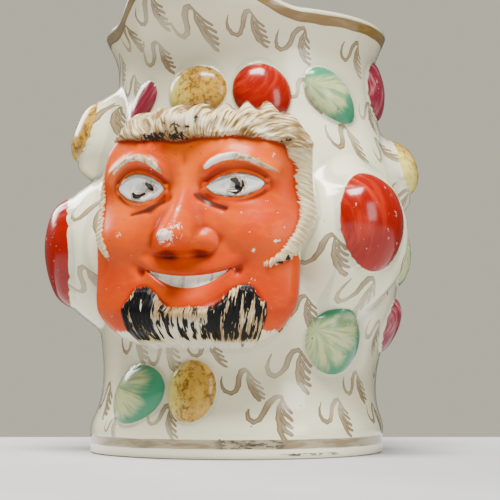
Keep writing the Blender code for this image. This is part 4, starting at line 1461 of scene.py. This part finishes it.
def earthenware():
    """Cream glaze over pale clay, with lustre, enamel colours and a century and a half of wear."""
    material = bpy.data.materials.new("painted pearlware")
    material.use_nodes = True
    tree = material.node_tree
    shader = tree.nodes["Principled BSDF"]
    at = measured(Wire(tree))
    colour, on_sprig = lustre_sprigs(at, glaze(at))
    colour, below_band = bands(at, colour)
    colour, on_fruit, brush = fruit_enamels(at, colour)
    measure_mask(at)
    colour, on_face = face_enamel(at, colour)
    colour, combed = fur_and_hair(at, colour)
    colour, on_eye = eyes(at, brows(at, colour))
    colour, on_beard, dabbed = whiskers(at, grin(at, colour))
    colour, bare = wear(at, colour, on_face)

    gloss = 0.06 + rising(at.middling, 0.3, 0.8) * 0.05 + on_fruit * 0.16 + on_sprig * at.outside * 0.10
    gloss = gloss + bare * 0.15 + on_face * 0.26 + combed * 0.26 + on_beard * 0.12 + below_band * 0.12
    ripple = cloud(at.solid, 0.22, 2.0) * 0.5 + at.grain * 0.04
    strokes = brush * on_fruit * 0.25 + at.strand * combed * 0.5
    strokes = strokes + dabbed * on_beard * 0.6 + at.brushed * on_face * 0.20
    relief = {"Strength": 0.55, "Distance": 0.00028, "Height": ripple + strokes}
    # The soft enamels shine less than the glaze under them.
    glazed = 1.0 - most(on_face * (1.0 - on_eye), on_beard) * 0.92 - on_fruit * 0.35
    wired = {"Base Color": colour, "Roughness": gloss, "Coat Weight": glazed,
             "Normal": at.base.node("ShaderNodeBump", {}, relief)}
    for name, wire in wired.items():
        tree.links.new(wire.socket, shader.inputs[name])
    for name, value in {"Specular IOR Level": 0.12, "Coat IOR": 1.42, "Coat Roughness": 0.15}.items():
        shader.inputs[name].default_value = value
    return material


def floor_paint():
    material = bpy.data.materials.new("pale painted board")
    material.use_nodes = True
    shader = material.node_tree.nodes["Principled BSDF"]
    base = Wire(material.node_tree)
    mottle = cloud(base.node("ShaderNodeTexCoord", {}, output=3), 9.0, 4.0)
    tone = mixed(rising(mottle, 0.35, 0.65), (178, 178, 178), (186, 186, 185))
    material.node_tree.links.new(tone.socket, shader.inputs["Base Color"])
    shader.inputs["Roughness"].default_value = 0.6
    return material


# Floor, light and camera

CAMERA_TURN = 18.5
CAMERA_DISTANCE = 0.490
CAMERA_HEIGHT = 0.0272
CAMERA_PITCH = 4.76
LENS_MM = 103.7
SENSOR_MM = 36.0
CAMERA_SHIFT = 0.008
BOARD_REACH = 2.5
BOARD_BACK = 0.10


def build_floor():
    mesh = bpy.data.meshes.new("floor")
    turn = math.radians(CAMERA_TURN)
    sideways = Vector((math.cos(turn), math.sin(turn), 0.0))
    away = Vector((-math.sin(turn), math.cos(turn), 0.0))
    left, right, front = -BOARD_REACH, BOARD_REACH, -BOARD_REACH
    outline = ((left, front), (right, front), (right, BOARD_BACK), (left, BOARD_BACK))
    corners = [sideways * side + away * depth for side, depth in outline]
    mesh.from_pydata(corners, [], [(0, 1, 2, 3)])
    mesh.materials.append(floor_paint())
    floor = bpy.data.objects.new("floor", mesh)
    bpy.context.scene.collection.objects.link(floor)


def add_light(name, place_at, look_at, size, power, colour):
    data = bpy.data.lights.new(name, "AREA")
    data.shape = "RECTANGLE"
    data.size, data.size_y = size
    data.energy = power
    data.color = colour
    lamp = bpy.data.objects.new(name, data)
    lamp.location = place_at
    lamp.rotation_euler = (Vector(look_at) - Vector(place_at)).to_track_quat("-Z", "Y").to_euler()
    bpy.context.scene.collection.objects.link(lamp)


def around(turn, distance, height):
    """A place at this turn from the mask, distance from the axis and height."""
    angle = math.radians(turn)
    return distance * math.sin(angle), -distance * math.cos(angle), height


def build_lights():
    middle = (0.0, 0.0, 0.075)
    add_light("window right", around(66.0, 1.10, 0.35), middle, (0.34, 0.50), 4.5, (1.0, 0.985, 0.95))
    add_light("sky front", around(16.0, 0.62, 1.65), middle, (0.9, 0.6), 96.0, (1.0, 0.99, 0.96))
    add_light("fill left", around(-112.0, 1.00, 0.70), middle, (0.6, 0.6), 17.0, (1.0, 0.99, 0.96))
    world = bpy.data.worlds.new("pale room")
    world.use_nodes = True
    base = Wire(world.node_tree)
    seen = base.node("ShaderNodeLightPath")
    room = base.node("ShaderNodeBackground", {}, {"Color": from_screen(200, 198, 190), "Strength": 0.24})
    wall = base.node("ShaderNodeBackground", {}, {"Color": from_screen(200, 195, 176), "Strength": 1.0})
    both = base.node("ShaderNodeMixShader", {}, {0: seen, 1: room, 2: wall})
    world.node_tree.links.new(both.socket, world.node_tree.nodes["World Output"].inputs["Surface"])
    bpy.context.scene.world = world


def build_camera():
    data = bpy.data.cameras.new("camera")
    data.lens = LENS_MM
    data.sensor_width = SENSOR_MM
    data.shift_x = CAMERA_SHIFT
    data.clip_start = 0.01
    camera = bpy.data.objects.new("camera", data)
    camera.location = around(CAMERA_TURN, CAMERA_DISTANCE, CAMERA_HEIGHT)
    turn, pitch = math.radians(CAMERA_TURN), math.radians(CAMERA_PITCH)
    looking = Vector((-math.sin(turn) * math.cos(pitch), math.cos(turn) * math.cos(pitch), math.sin(pitch)))
    camera.rotation_euler = looking.to_track_quat("-Z", "Y").to_euler()
    bpy.context.scene.collection.objects.link(camera)
    bpy.context.scene.camera = camera


pearlware = earthenware()
build_jug(pearlware)
build_handle(pearlware)
build_floor()
build_lights()
build_camera()
